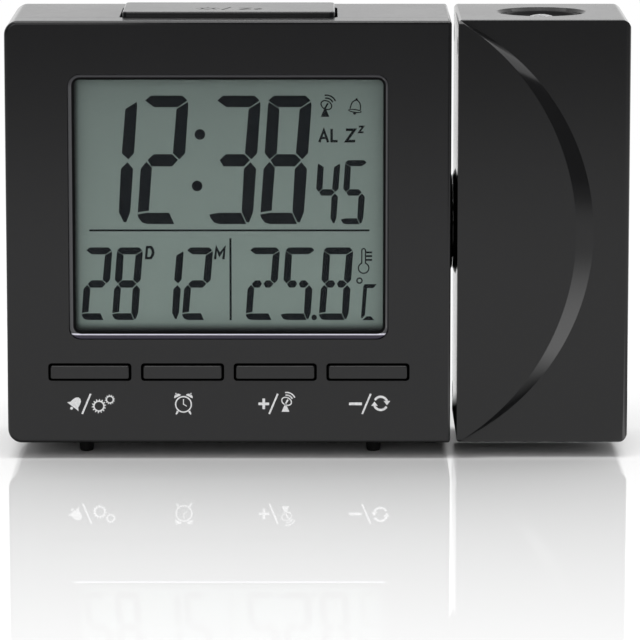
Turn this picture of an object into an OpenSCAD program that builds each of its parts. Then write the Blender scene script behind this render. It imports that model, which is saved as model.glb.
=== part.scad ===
// Desktop projection alarm clock: a case with a large display, and a projector head that swivels beside it.
// Millimetres. +X is to the right, -Y is the front, +Z is up. The origin is on the table, under the middle
// of the whole clock.

/* [Case] */
// Width of the main case
case_w = 95.6; // [94:0.2:110]
// Height of the main case, without its feet
case_h = 91.6; // [90.6:0.2:104]
// Depth of the main case
case_d = 38; // [37:0.5:46]
// Wall of the case's shells
case_wall = 2.0; // [1.6:0.1:2.4]
// Radius of the case's two left corners, seen from the front
case_corner_r = 3.0; // [1:0.1:5]
// Radius of the two right corners, beside the projector head
hub_corner_r = 0.8; // [0.4:0.1:2]
// Rounding of the front and back edges of the case
case_edge_r = 0.8; // [0.3:0.1:1.2]
// Depth of the front bezel, from its face to the parting line
bezel_depth = 7.2; // [6.6:0.1:7.6]
// Thickness of the bezel's face
bezel_plate = 2.4; // [2:0.1:2.8]
// Length of the bezel's lip inside the rear shell
lip_len = 1.6; // [1:0.1:2]
// Thickness of that lip
lip_wall = 1.1; // [0.8:0.1:1.3]
// Play between pieces that sit in each other without moving
seat_gap = 0.1; // [0.05:0.01:0.15]

/* [Window and display] */
// Width of the window pane
window_w = 68.8; // [62:0.2:70]
// Height of the window pane
window_h = 57.5; // [50:0.5:58.5]
// Distance from the top of the case to the top of the pane
window_drop = 11.4; // [10.4:0.1:12]
// Corner radius of the pane
window_r = 2.6; // [1:0.1:4]
// Width of the pane's bevelled edge
window_bevel = 0.8; // [0.3:0.1:0.9]
// Depth of the recess that holds the pane
window_seat = 1.5; // [1.1:0.1:1.6]
// Width of the ledge behind the pane's edge
window_ledge = 1.0; // [0.8:0.1:1.2]
// How far the display's glass reaches past the opening
lcd_margin = 1.8; // [1.5:0.1:2]
// Thickness of each of the display's two glasses
lcd_glass = 1.1; // [0.7:0.1:1.3]
// Wall of the frame round the display
lcd_frame_wall = 1.4; // [1:0.1:1.6]
// Thickness of the light guide
guide_t = 3.0; // [2:0.1:3.2]
// Width of the contact strip under the display
zebra_w = 2.0; // [1.5:0.1:2.5]

/* [Front buttons] */
// Length of a front button
button_w = 17.0; // [12:0.2:18]
// Height of a front button
button_h = 2.9; // [2.4:0.1:3.4]
// Distance between the buttons' centres
button_pitch = 20.0; // [20:0.1:20.6]
// Height of the buttons' centres above the bottom of the case
button_rise = 15.6; // [14.6:0.1:16]
// Gap round a front button
button_gap = 0.45; // [0.3:0.05:0.5]
// How far a button stands out of the face
button_proud = 0.6; // [0.4:0.1:0.8]
// Travel of a front button
button_travel = 0.5; // [0.3:0.05:0.6]
// Corner radius of a button's face
button_r = 0.5; // [0.2:0.1:1]

/* [Snooze bar] */
// Width of the snooze bar
bar_w = 45.7; // [40:0.1:48]
// Depth of the snooze bar, front to back
bar_d = 20.9; // [18:0.1:22]
// How far the bar stands above the case
bar_proud = 1.2; // [1:0.1:2]
// Gap round the bar
bar_gap = 0.6; // [0.4:0.05:0.8]
// Travel of the bar
bar_travel = 0.9; // [0.5:0.05:1]
// Wall of the bar
bar_wall = 1.5; // [1.2:0.1:1.8]
// Corner radius of the bar, seen from above
bar_r = 1.2; // [0.6:0.1:3]

/* [Feet] */
// Height of the feet
foot_h = 3.5; // [3.4:0.1:6]
// Radius of a foot at the case
foot_top_r = 1.85; // [1.6:0.05:3]
// Radius of a foot on the table
foot_tip_r = 1.4; // [1.2:0.05:1.6]
// Distance of the feet from the middle of the case, sideways
foot_x = 31.3; // [24:0.1:32]
// Radius of the pin that holds a foot in the case
foot_pin_r = 1.1; // [0.8:0.05:1.3]

/* [Hub] */
// Gap between the case and the projector head
hub_gap = 1.4; // [1:0.1:2]
// Radius of the hub where it meets the case and the head
hub_face_r = 11.65; // [11:0.05:13]
// Radius of the hub half way across the gap
hub_mid_r = 10.05; // [9.5:0.05:10.8]
// Radius of the spigot that the head turns on
spigot_r = 8.0; // [7.5:0.1:8.3]
// Radius of the hole through the spigot
spigot_bore_r = 5.5; // [4.5:0.1:5.8]
// Play of the spigot in its bearing, on the radius
hub_fit = 0.06; // [0.03:0.01:0.1]
// Length of the bearing in the case's side
bearing_len = 6.0; // [5:0.1:7]
// Thickness of the friction washer
washer_t = 0.9; // [0.6:0.1:1.2]
// Thickness of the retainer
retainer_t = 1.6; // [1.4:0.1:2]
// Turn of the head to each side, in degrees
swivel_turn = 90; // [60:1:92]

/* [Projector head] */
// Width of the projector head
head_w = 37.0; // [34:0.2:42]
// How much taller the head is than the case
head_extra_h = 0.2; // [0:0.1:0.4]
// Wall of the head
head_wall = 2.0; // [1.6:0.1:2.2]
// How far the raised field stands out of the head's face
field_raise = 1.5; // [1:0.1:2]
// Width of the raised field, from the head's left side to its ridge
field_w = 25.5; // [20:0.1:26]
// Width of the slope beside the ridge, half way up
slope_w = 3.8; // [2:0.1:4.5]
// Corner radius on the head's right side, seen from the front
head_corner_r = 2.1; // [1:0.1:3]
// Corner radius on the head's left side
head_inner_r = 1.0; // [0.4:0.1:1.6]
// Rounding of the head's upright edges, seen from above
head_edge_r = 1.2; // [0.6:0.1:2]
// Room between the turning head and the table
swing_gap = 0.3; // [0.2:0.05:0.6]

/* [Optics] */
// Radius of the opening over the lens
well_r = 9.2; // [9.1:0.05:9.6]
// Width of the chamfer round that opening
well_chamfer = 0.65; // [0.3:0.05:0.8]
// Outer radius of the focus ring
ring_r = 8.9; // [8.5:0.05:9]
// Depth of the ring's top below the top of the head
ring_drop = 0.6; // [0.5:0.05:1]
// Outer radius of the lens cell
cell_r = 6.5; // [6:0.05:6.8]
// Height of the lens cell
cell_h = 9.0; // [7:0.1:9.4]
// Radius of the projection lens
lens_r = 5.6; // [5:0.05:5.8]
// Radius of the curve of the lens's faces
lens_curve = 14; // [11:0.5:20]
// Running play of the ring and the cell, on the radius
optic_fit = 0.08; // [0.05:0.01:0.1]
// Travel of the lens cell to each side
lens_travel = 0.6; // [0.4:0.05:0.7]
// Outer radius of the optic tube
tube_r = 10.3; // [10:0.05:10.5]
// Edge of the small square display that is projected
slide_w = 14; // [12:0.5:15]

/* [Inside] */
// Thickness of the circuit boards
board_t = 1.6; // [1.2:0.1:1.6]
// Diameter of a battery cell
cell_d = 14.5; // [14:0.1:14.5]
// Length of a battery cell with its tip
cell_len = 50.5; // [49:0.1:50.5]
// Space for the contact spring at a cell's end
spring_room = 6.5; // [5.5:0.1:7]
// Thickness of the battery cover
cover_t = 2.0; // [1.6:0.1:2.2]
// Wall of the battery bay
bay_wall = 1.5; // [1.2:0.1:1.8]
// Radius of the ferrite rod
rod_r = 4.0; // [3.5:0.1:4.2]
// Length of the ferrite rod
rod_len = 60; // [50:1:66]
// Radius of the buzzer
buzzer_r = 11.5; // [9:0.1:12]
// Radius of the access hole for the supply plug
jack_hole_r = 4.0; // [3.6:0.1:4.5]

/* [Hidden] */
$fn = 64;
eps = 0.01;
over = 1;

// Outside planes of the case and of the head
total_w = case_w + hub_gap + head_w;
case_x0 = -total_w / 2;
case_x1 = case_x0 + case_w;
case_cx = (case_x0 + case_x1) / 2;
case_y0 = -case_d / 2;
case_y1 = case_d / 2;
case_z0 = foot_h;
case_z1 = foot_h + case_h;
pivot_z = (case_z0 + case_z1) / 2;
seam_y = case_y0 + bezel_depth;
plate_y = case_y0 + bezel_plate;
back_y = case_y1 - case_wall;
head_x0 = case_x1 + hub_gap;
head_x1 = head_x0 + head_w;
head_h = case_h + head_extra_h;
head_z0 = pivot_z - head_h / 2;
head_z1 = pivot_z + head_h / 2;
head_y0 = case_y0 + field_raise;
head_y1 = -head_y0;

// Window and display
window_z1 = case_z1 - window_drop;
window_cz = window_z1 - window_h / 2;
view_w = window_w - 2 * window_ledge;
view_h = window_h - 2 * window_ledge;
lcd_w = view_w + 2 * lcd_margin;
lcd_h = view_h + 2 * lcd_margin;
lcd_y0 = plate_y + seat_gap;
lcd_y1 = lcd_y0 + 2 * lcd_glass;
lcd_step = zebra_w + 1;
guide_y0 = lcd_y1 + seat_gap;
led_t = 0.5;
board_y0 = guide_y0 + guide_t + seat_gap + led_t;
board_y1 = board_y0 + board_t;
lcd_frame_w = lcd_w + 2 * (seat_gap + lcd_frame_wall);
lcd_frame_h = lcd_h + 2 * (seat_gap + lcd_frame_wall);

// Buttons
button_z = case_z0 + button_rise;
slot_w = button_w + 2 * button_gap;
slot_h = button_h + 2 * button_gap;
flange_w = slot_w + 1.0;
flange_h = slot_h + 1.0;
flange_t = 0.8;
flange_y = plate_y + seat_gap;
stem_r = 1.5;
stem_gap = 0.1;
switch_w = 6;
switch_tip = 0.9;
switch_tip_r = 1.7;
switch_tip_y = flange_y + flange_t + 1.2;

// Case screws: a post on the bezel meets a boss on the rear shell
post_inset = case_wall + 4.0;
post_r = 3.2;
boss_r = 4.2;
post_gap = 0.05;
screw_head_r = 2.7;
screw_head_h = 1.8;
screw_shank_r = 1.3;
screw_floor = 3.0;
screw_bite = 6.0;
cross_w = 3.0;
cross_t = 0.7;
cross_d = 1.0;

// Main board and its screw posts, which stand beside the posts of the case
board_post_r = 1.7;
board_screw_r = 0.8;
board_screw_head_r = 1.6;
board_screw_head_h = 1.1;
board_screw_bite = 3.5;
screw_play = 0.1;
board_edge = 2.9;
board_post_step = 7.6;
board_post_x = case_w / 2 - post_inset - board_post_step;
board_post_low = button_z - flange_h / 2 - 0.3 - board_post_r;
board_post_high = window_cz + lcd_frame_h / 2 + 0.1 + board_post_r;
board_w = max(lcd_frame_w, 2 * (board_post_x + board_edge));
board_z0 = board_post_low - board_post_r - 0.6;
board_z1 = board_post_high + board_post_r;
post_y = board_y1 + 3.5;

// Pieces on the main board: [x, z] from the middle of the window, then sizes
main_chip_at = [-6, 4];
main_chip_w = 14;
main_chip_t = 1.4;
radio_chip_at = [14, -16];
radio_chip_w = 8;
radio_chip_t = 1.2;
crystal_at = [-8, 16];
crystal_len = 6;
crystal_r = 1.5;
led_w = 1.6;
led_h = 0.8;
thermistor_x = 10;
thermistor_rise = 5;
thermistor_r = 1.3;
thermistor_lead = 3;
thermistor_lead_r = 0.25;
thermistor_pitch = 1.2;
connector_w = 6;
connector_h = 7;
connector_t = 3;

// Hub
boss_h = hub_gap / 2 - 0.05;
bearing_r = 10.2;
bearing_x = case_x1 - bearing_len;
washer_x = bearing_x - 0.1 - washer_t;
retainer_x = washer_x - retainer_t;
retainer_r = 9.6;
washer_r = 9.4;
retainer_screw_r = 0.8;
tab_w = 3.0;
tab_r = 11.9;
stop_r = 1.0;
stop_ring_r = 10.9;
stop_turn = swivel_turn + asin(tab_w / 2 / stop_ring_r) + asin(stop_r / stop_ring_r) + 1.5;
wire_r = 1.6;
wire_bend = 4;
wire_meet_x = (retainer_x + case_x1) / 2;
wire_run = 8;
wire_x = bearing_x - wire_run;
retainer_screw_ring = (spigot_r + spigot_bore_r) / 2;
retainer_screw_bite = 4.5;
retainer_screw_head_r = 1.2;
retainer_screw_head_h = 0.9;

// Raised field of the head: two arcs that meet in the head's left corners
half_head = head_h / 2;
ridge_r = (half_head * half_head + field_w * field_w) / (2 * field_w);
slope_reach = field_w + slope_w;
slope_r = (half_head * half_head + slope_reach * slope_reach) / (2 * slope_reach);

// Optics, on an upright axis in the middle of the head
optic_x = (head_x0 + head_x1) / 2;
ring_z1 = head_z1 - ring_drop;
ring_h = cell_h + 2 * lens_travel + 1.2;
ring_z0 = ring_z1 - ring_h;
shoulder_z = ring_z0 - 0.05;
tube_z1 = head_z1 - head_wall - 0.02;
cell_z1 = ring_z1 - lens_travel - 0.05;
cell_z0 = cell_z1 - cell_h;
light_r = 6.0;
condenser_r = 6.75;
lens_cap = lens_curve - sqrt(lens_curve * lens_curve - lens_r * lens_r);
lens_edge = 1.6;
lens_proud = 0.3;
lens_rest = 0.8;
ring_chamfer = 0.8;
notch_r = 0.35;
notch_len = 2;
notch_step = 15;
lens_z1 = cell_z1 - 0.4;
projector_board_z = pivot_z + wire_r + 1.6;
projector_board_t = 1.4;
projector_board_w = 2 * tube_r - 1;
tube_z0 = projector_board_z + projector_board_t;
slide_t = 1.5;
slide_rise = 13;
slide_z = tube_z0 + slide_rise;
condenser_rise = 6.2;
condenser_z = tube_z0 + condenser_rise;
condenser_h = 4;
condenser_curve = 9;
led_base_r = 2.9;
led_base_h = 1.2;
led_dome_r = 2.5;
led_dome_h = 2.6;
head_connector_x0 = optic_x - 4;
head_connector_w = 7;
head_connector_drop = 2.4;
ear_x = optic_x + tube_r - 1.4;
ear_t = 1.8;
ear_y = tube_r + 0.4;
ear_z = (tube_z0 + tube_z1) / 2;
ear_h = 10;
ear_reach = 2;
optic_screw_bite = 2.6;
optic_screw_head_r = 1.4;
optic_screw_head_h = 1;
head_post_r = 2.2;
head_post_y = head_y1 - head_wall - head_post_r + 0.1;
head_post_z = half_head - head_wall - 4;
head_screw_r = 1.0;
head_screw_bite = 6.5;
head_screw_head_r = 1.8;
head_screw_head_h = 0.9;
head_screw_sink = 1.1;
head_screw_play = 0.15;

// Battery bay, open at the back
cover_rim = 1.6;
cover_gap = 0.15;
bay_len = cell_len + spring_room + 1.2;
bay_rim = cover_rim + bay_wall;
bay_x0 = case_x0 + post_inset + max(boss_r + cover_rim + 0.4, screw_head_r + 0.5 + bay_rim);
bay_x1 = bay_x0 + bay_len;
bay_z0 = case_z0 + case_wall + 3.6;
bay_h = 2 * cell_d + 2;
bay_z1 = bay_z0 + bay_h;
bay_y = case_y1 - cover_t - cell_d - 0.8;
cell_y = bay_y + 0.2 + cell_d / 2;
cell_zs = [bay_z0 + 0.5 + cell_d / 2, bay_z1 - 0.5 - cell_d / 2];
contact_t = 0.6;
contact_w = 10;
contact_spring_r = 3.6;
contact_wire = 0.4;
cell_tip_r = 2.7;
cell_tip_h = 1;
grip_count = 5;
grip_w = 14;
grip_r = 0.45;
grip_pitch = 1.6;
grip_drop = 4;
foot_y = -(seam_y + lip_len + foot_pin_r + 0.2);

// Snooze bar and what is under it
bar_x = case_cx;
bar_y0 = seam_y + bar_gap;
bar_cy = bar_y0 + bar_d / 2;
bar_z1 = case_z1 + bar_proud;
bar_ceiling = bar_z1 - bar_wall;
bar_flange_t = 1.0;
bar_flange_out = bar_gap + 1;
bar_flange_in = 2;
bar_stem_r = 2;
bar_flange_z1 = case_z1 - case_wall - 0.05;
bar_z0 = bar_flange_z1 - bar_flange_t;
snooze_switch_h = 3.5;
snooze_tip_h = 0.8;
snooze_tip_z = bar_z0 + 0.3;
snooze_board_z = snooze_tip_z - snooze_tip_h - snooze_switch_h - board_t;
snooze_board_w = 40;
snooze_board_d = 13;
snooze_ledge_x = snooze_board_w / 2 - board_edge;
snooze_ledge_w = 4.4;
snooze_ledge_h = 3;
snooze_bite = 2.4;
bar_spring_r = 2.3;
bar_spring_wire = 0.25;
bar_spring_step = 6;

// Things on the back wall
rod_z = snooze_board_z - rod_r - 3.5;
rod_y = back_y - rod_r - 3;
coil_len = 18;
coil_r = rod_r + 1.5;
saddle_inset = 6;
saddle_w = 4;
saddle_wall = 1.6;
saddle_lip = 0.4;
buzzer_t = 6;
buzzer_port_r = 1.6;
buzzer_port_d = 1.2;
buzzer_cup = 4;
buzzer_cup_wall = 1.2;
sound_hole_r = 0.9;
sound_ring_r = 5;
buzzer_x = case_x0 + case_wall + buzzer_r + 4;
buzzer_z = (bay_z1 + rod_z - coil_r) / 2 + 0.5;
jack_w = 9;
jack_len = 11;
jack_x = bay_x1 + bay_rim + 0.3 + jack_w / 2;
jack_z = case_z0 + post_inset + boss_r + 0.3 + jack_w / 2;
jack_bore_r = 2.8;
jack_bore_d = 9;
jack_pin_r = 0.9;
seat_slip = 0.02;
lead_r = 0.6;

// Extrudes a shape drawn as (x, z) from y0 to y1
module along_y(y0, y1) {
    translate([0, y1, 0]) rotate([90, 0, 0]) linear_extrude(y1 - y0) children();
}

// Extrudes a shape drawn as (y, z) from x0 to x1
module along_x(x0, x1) {
    translate([x0, 0, 0]) rotate([90, 0, 90]) linear_extrude(x1 - x0) children();
}

// Round bar along X, through (y, z) = (0, 0)
module rod_x(x0, x1, r) {
    translate([x0, 0, 0]) rotate([0, 90, 0]) cylinder(h = x1 - x0, r = r);
}

// Round bar along Y, through (x, z) = (0, 0)
module rod_y(y0, y1, r) {
    translate([0, y0, 0]) rotate([-90, 0, 0]) cylinder(h = y1 - y0, r = r);
}

// Box between two opposite corners
module box(a, b) {
    translate(a) cube(b - a);
}

// Rectangle with one corner radius, centred
module round_rect(w, h, r) {
    square([w - 2 * r, h], center = true);
    square([w, h - 2 * r], center = true);
    for (sx = [-1, 1], sy = [-1, 1])
        translate([sx * (w / 2 - r), sy * (h / 2 - r)]) circle(r = r);
}

// Rectangle between two corners, with one radius on its left and one on its right
module sided_rect(x0, x1, y0, y1, left_r, right_r) {
    for (s = [[x0, (x0 + x1) / 2, left_r], [(x0 + x1) / 2, x1, right_r]]) {
        r = s[2];
        outer = s[0] == x0;
        for (y = [y0 + r, y1 - r]) translate([outer ? x0 + r : x1 - r, y]) circle(r = r);
        translate([s[0], y0 + r]) square([s[1] - s[0], y1 - y0 - 2 * r]);
        translate([outer ? x0 + r : s[0], y0]) square([s[1] - s[0] - r, y1 - y0]);
    }
}

// Front outline of the case, drawn in by an inset
module case_outline(inset) {
    sided_rect(case_x0 + inset, case_x1 - inset, case_z0 + inset, case_z1 - inset,
        max(case_corner_r - inset, 0.4), max(hub_corner_r - inset, 0.3));
}

// What is cut off to round the front edge of the case along one of its two left corners
module corner_trim(z, turn) {
    translate([case_x0 + case_corner_r, case_y0, z]) rotate([-90, 0, 0]) rotate([0, 0, turn])
        rotate_extrude(angle = 90) difference() {
            translate([case_corner_r - case_edge_r, -over]) square(case_edge_r + over);
            translate([case_corner_r - case_edge_r, case_edge_r]) circle(r = case_edge_r);
        }
}

// Outside of the whole case, between two planes across Y
module case_block(y0, y1) {
    difference() {
        intersection() {
            along_y(y0, y1) case_outline(0);
            translate([0, 0, case_z0 - over]) linear_extrude(case_h + 2 * over)
                translate([case_cx, 0]) round_rect(case_w, case_d, case_edge_r);
            along_x(case_x0 - over, case_x1 + over)
                translate([0, pivot_z]) round_rect(case_d, case_h, case_edge_r);
        }
        for (front = [0, 1]) mirror([0, front, 0]) {
            corner_trim(case_z0 + case_corner_r, 90);
            corner_trim(case_z1 - case_corner_r, 180);
        }
    }
}

// Puts a child at each of the four corner screws of the case
module at_case_screws() {
    for (x = [case_x0 + post_inset, case_x1 - post_inset], z = [case_z0 + post_inset, case_z1 - post_inset])
        translate([x, 0, z]) children();
}

// Puts a child at each screw of the main board
module at_board_screws() {
    for (sx = [-1, 1], z = [board_post_low, board_post_high])
        translate([case_cx + sx * board_post_x, 0, z]) children();
}

// Puts a child at one of the four front buttons, numbered from the left
module at_button(i) {
    translate([case_cx + (i - 1.5) * button_pitch, 0, button_z]) children();
}

// Lip of the bezel that enters the rear shell, open round the snooze bar and the hub
module bezel_lip() {
    bar_room = bar_w / 2 + bar_flange_out + lip_wall;
    difference() {
        union() {
            along_y(seam_y - lip_len, seam_y) case_outline(case_wall - lip_wall / 2);
            along_y(seam_y - eps, seam_y + lip_len) case_outline(case_wall + seat_gap);
        }
        along_y(seam_y - lip_len - over, seam_y + lip_len + over) case_outline(case_wall + lip_wall);
        box([bar_x - bar_room, seam_y - over, case_z1 - case_wall - 2 * lip_wall],
            [bar_x + bar_room, seam_y + lip_len + over, case_z1 - case_wall]);
        box([case_x1 - case_wall - 2 * lip_wall, seam_y - over, pivot_z - tab_r - over],
            [case_x1 - case_wall, seam_y + lip_len + over, pivot_z + tab_r + over]);
    }
}

module front_bezel() {
    color("#252527") difference() {
        union() {
            difference() {
                case_block(case_y0, seam_y);
                along_y(plate_y, seam_y + over) case_outline(case_wall);
            }
            bezel_lip();
            at_case_screws() rod_y(plate_y - eps, post_y, post_r);
            at_board_screws() rod_y(plate_y - eps, board_y0, board_post_r);
        }
        translate([case_cx, 0, window_cz]) {
            along_y(case_y0 - over, case_y0 + window_seat) round_rect(window_w, window_h, window_r);
            along_y(case_y0, plate_y + over) round_rect(view_w, view_h, window_r - window_ledge / 2);
        }
        for (i = [0:3]) at_button(i) along_y(case_y0 - over, plate_y + over)
            round_rect(slot_w, slot_h, button_r + button_gap / 2);
        at_case_screws() rod_y(post_y - screw_bite - over, post_y + over, screw_shank_r);
        at_board_screws() rod_y(board_y1 - board_t - board_screw_bite, board_y0 + over, board_screw_r);
    }
}

module window_lens() {
    color("#c8ccd0", 0.35) translate([case_cx, 0, window_cz]) hull() {
        along_y(case_y0 + seat_gap / 2, case_y0 + seat_gap)
            round_rect(window_w - 2 * window_bevel, window_h - 2 * window_bevel, window_r - window_bevel,
                $fn = 32);
        along_y(case_y0 + window_bevel, case_y0 + window_seat)
            round_rect(window_w - 2 * seat_gap, window_h - 2 * seat_gap, window_r, $fn = 32);
    }
}

module lcd_panel() {
    color("#707e78") translate([case_cx, 0, window_cz]) {
        along_y(lcd_y0, lcd_y0 + lcd_glass) square([lcd_w, lcd_h], center = true);
        along_y(lcd_y0 + lcd_glass, lcd_y1)
            translate([0, lcd_step / 2]) square([lcd_w, lcd_h - lcd_step], center = true);
    }
}

module lcd_frame() {
    color("#e8e8e6") translate([case_cx, 0, window_cz]) along_y(plate_y + seat_gap, board_y0) difference() {
        round_rect(lcd_frame_w, lcd_frame_h, lcd_frame_wall / 2);
        square([lcd_w + 2 * seat_gap, lcd_h + 2 * seat_gap], center = true);
    }
}

module light_guide() {
    color("#f2f4f0") translate([case_cx, 0, window_cz]) along_y(guide_y0, guide_y0 + guide_t)
        translate([0, lcd_step / 2]) square([lcd_w, lcd_h - lcd_step], center = true);
}

module backlight_leds() {
    color("#f4e7a8") for (i = [-1, 0, 1], j = [-1, 1])
        translate([case_cx + i * lcd_w / 3, 0, window_cz + j * lcd_h / 4])
            along_y(board_y0 - led_t, board_y0) square([led_w, led_h], center = true);
}

module zebra_strip() {
    color("#d06a86") translate([case_cx, 0, window_cz - lcd_h / 2 + lcd_step / 2])
        along_y(lcd_y0 + lcd_glass, board_y0) square([lcd_w - lcd_step, zebra_w], center = true);
}

module main_board() {
    color("#1f6b3a") difference() {
        along_y(board_y0, board_y1)
            translate([case_cx - board_w / 2, board_z0]) square([board_w, board_z1 - board_z0]);
        at_case_screws() rod_y(board_y0 - over, board_y1 + over, post_r + seat_gap);
        at_board_screws() rod_y(board_y0 - over, board_y1 + over, board_screw_r + screw_play);
    }
}

module clock_chips() {
    color("#202022") {
        translate([case_cx + main_chip_at[0], 0, window_cz + main_chip_at[1]])
            along_y(board_y1, board_y1 + main_chip_t) square(main_chip_w, center = true);
        translate([case_cx + radio_chip_at[0], 0, window_cz + radio_chip_at[1]])
            along_y(board_y1, board_y1 + radio_chip_t) square(radio_chip_w, center = true);
    }
}

module crystal() {
    color("#c9c9c6") translate([case_cx + crystal_at[0], board_y1 + crystal_r, window_cz + crystal_at[1]])
        rod_x(0, crystal_len, crystal_r);
}

module key_switches() {
    color("#3a3a3c") for (i = [0:3]) at_button(i) {
        along_y(switch_tip_y + switch_tip, board_y0) square(switch_w, center = true);
        rod_y(switch_tip_y, switch_tip_y + switch_tip + eps, switch_tip_r);
    }
}

module wire_connector() {
    color("#efece2") translate([wire_x - wire_bend, 0, pivot_z])
        along_y(board_y1, board_y1 + connector_t) square([connector_w, connector_h], center = true);
}

// The wires to the head: out of the board's connector, round one bend and along the head's axis
module case_wires() {
    color("#b8342c") translate([0, 0, pivot_z]) {
        rod_x(wire_x, wire_meet_x, wire_r);
        translate([wire_x, -wire_bend, 0]) rotate([0, 0, 90]) rotate_extrude(angle = 90)
            translate([wire_bend, 0]) circle(r = wire_r);
        translate([wire_x - wire_bend, 0, 0]) rod_y(board_y1 + connector_t, -wire_bend, wire_r);
    }
}

// Places of the straight leads that run back from the board: [x, z, where the lead ends]
board_lead_ends = [
    for (s = [-1, 1]) [jack_x - 1 + s * 1.5, jack_z, back_y - jack_len],
    for (s = [-1, 1]) [buzzer_x + s * 3, buzzer_z, back_y - buzzer_t],
    for (s = [-1, 1]) [case_cx + s * coil_len / 3, rod_z, rod_y - coil_r]
];

module board_leads() {
    color("#c43a30") for (p = board_lead_ends) translate([p[0], 0, p[1]]) rod_y(board_y1, p[2], lead_r);
}

module antenna_rod() {
    color("#3b3b40") translate([case_cx - rod_len / 2, rod_y, rod_z]) rod_x(0, rod_len, rod_r);
}

module antenna_coil() {
    color("#b5652d") translate([case_cx - coil_len / 2, rod_y, rod_z]) difference() {
        rod_x(0, coil_len, coil_r);
        rod_x(-over, coil_len + over, rod_r + seat_slip);
    }
}

module buzzer() {
    color("#1c1c1e") translate([buzzer_x, 0, buzzer_z]) difference() {
        rod_y(back_y - buzzer_t, back_y - seat_slip, buzzer_r);
        rod_y(back_y - buzzer_port_d, back_y + over, buzzer_port_r);
    }
}

module thermistor() {
    color("#2c2c30") translate([case_cx + thermistor_x, 0, board_z0 + thermistor_rise]) {
        for (s = [-1, 1]) translate([s * thermistor_pitch / 2, 0, 0])
            rod_y(board_y1, board_y1 + thermistor_lead, thermistor_lead_r);
        translate([0, board_y1 + thermistor_lead + thermistor_r / 3, 0]) sphere(r = thermistor_r);
    }
}

// Hollow shell with its back wall, before anything is added inside
module rear_skin() {
    difference() {
        case_block(seam_y, case_y1);
        along_y(seam_y - over, back_y) case_outline(case_wall);
    }
}

// Bearing for the spigot, the chamfered boss outside it, and the two stops that the retainer's tab meets
module bearing_boss() {
    translate([0, 0, pivot_z]) {
        rod_x(bearing_x, case_x1 - case_wall + eps, bearing_r);
        translate([case_x1 - eps, 0, 0]) rotate([0, 90, 0])
            cylinder(h = boss_h, r1 = hub_face_r, r2 = hub_mid_r);
        for (s = [-1, 1]) translate([0, s * stop_ring_r * sin(stop_turn), -stop_ring_r * cos(stop_turn)])
            rod_x(retainer_x + seat_gap, case_x1 - case_wall + eps, stop_r);
    }
}

module rod_saddles() {
    half = saddle_w / 2;
    for (s = [-1, 1]) translate([case_cx + s * (rod_len / 2 - saddle_inset), 0, 0]) difference() {
        box([-half, rod_y - rod_r / 4, rod_z - rod_r - saddle_wall],
            [half, back_y + eps, rod_z + rod_r + saddle_wall]);
        translate([0, rod_y, rod_z]) rod_x(-half - over, half + over, rod_r + seat_slip);
        box([-half - over, rod_y - rod_r, rod_z - rod_r + saddle_lip],
            [half + over, rod_y, rod_z + rod_r - saddle_lip]);
    }
}

// Two ledges on the back wall that carry the snooze board
module snooze_ledges() {
    for (s = [-1, 1]) translate([bar_x + s * snooze_ledge_x, 0, 0])
        box([-snooze_ledge_w / 2, bar_cy - snooze_board_d / 2, snooze_board_z - snooze_ledge_h],
            [snooze_ledge_w / 2, back_y + eps, snooze_board_z]);
}

// Walls of the battery bay, with a ledge under the edge of its cover
module bay_block() {
    box([bay_x0 - bay_wall, bay_y - bay_wall, bay_z0 - bay_wall],
        [bay_x1 + bay_wall, back_y + eps, bay_z1 + bay_wall]);
    box([bay_x0 - bay_rim, case_y1 - cover_t - bay_wall, bay_z0 - bay_rim],
        [bay_x1 + bay_rim, back_y + eps, bay_z1 + bay_rim]);
}

// What is taken out for the cells and for the cover
module bay_space() {
    box([bay_x0, bay_y, bay_z0], [bay_x1, case_y1 + over, bay_z1]);
    box([bay_x0 - cover_rim, case_y1 - cover_t, bay_z0 - cover_rim],
        [bay_x1 + cover_rim, case_y1 + over, bay_z1 + cover_rim]);
}

module rear_shell() {
    color("#232325") difference() {
        union() {
            rear_skin();
            bearing_boss();
            at_case_screws() rod_y(post_y + post_gap, back_y + eps, boss_r);
            bay_block();
            translate([buzzer_x, 0, buzzer_z]) difference() {
                rod_y(back_y - buzzer_cup, back_y + eps, buzzer_r + buzzer_cup_wall);
                rod_y(back_y - buzzer_cup - over, back_y, buzzer_r + seat_gap);
            }
            rod_saddles();
            snooze_ledges();
            box([jack_x - jack_w / 2, back_y - jack_len, case_z0 + case_wall - eps],
                [jack_x + jack_w / 2, back_y + eps, jack_z - jack_w / 2 - seat_slip]);
        }
        translate([0, 0, pivot_z]) rod_x(bearing_x - over, case_x1 + hub_gap, spigot_r + hub_fit);
        translate([bar_x, bar_cy, case_z1 - case_wall - over]) linear_extrude(case_wall + 2 * over)
            round_rect(bar_w + 2 * bar_gap, bar_d + 2 * bar_gap, bar_r + bar_gap / 2);
        at_case_screws() {
            rod_y(post_y - over, case_y1 + over, screw_shank_r + 2 * screw_play);
            rod_y(post_y + screw_floor, case_y1 + over, screw_head_r + 3 * screw_play);
        }
        bay_space();
        translate([jack_x, 0, jack_z]) rod_y(back_y - over, case_y1 + over, jack_hole_r);
        translate([buzzer_x, 0, buzzer_z]) {
            rod_y(back_y - over, case_y1 + over, sound_hole_r);
            for (a = [0:60:300]) rotate([0, a, 0]) translate([sound_ring_r, 0, 0])
                rod_y(back_y - over, case_y1 + over, sound_hole_r);
        }
        for (sx = [-1, 1], sy = [-1, 1]) translate([case_cx + sx * foot_x, sy * foot_y, case_z0 - over])
            cylinder(h = case_wall + 2 * over, r = foot_pin_r);
        for (s = [-1, 1]) translate([bar_x + s * snooze_ledge_x, bar_cy, snooze_board_z - snooze_bite])
            cylinder(h = snooze_bite + eps, r = board_screw_r);
    }
}

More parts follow.
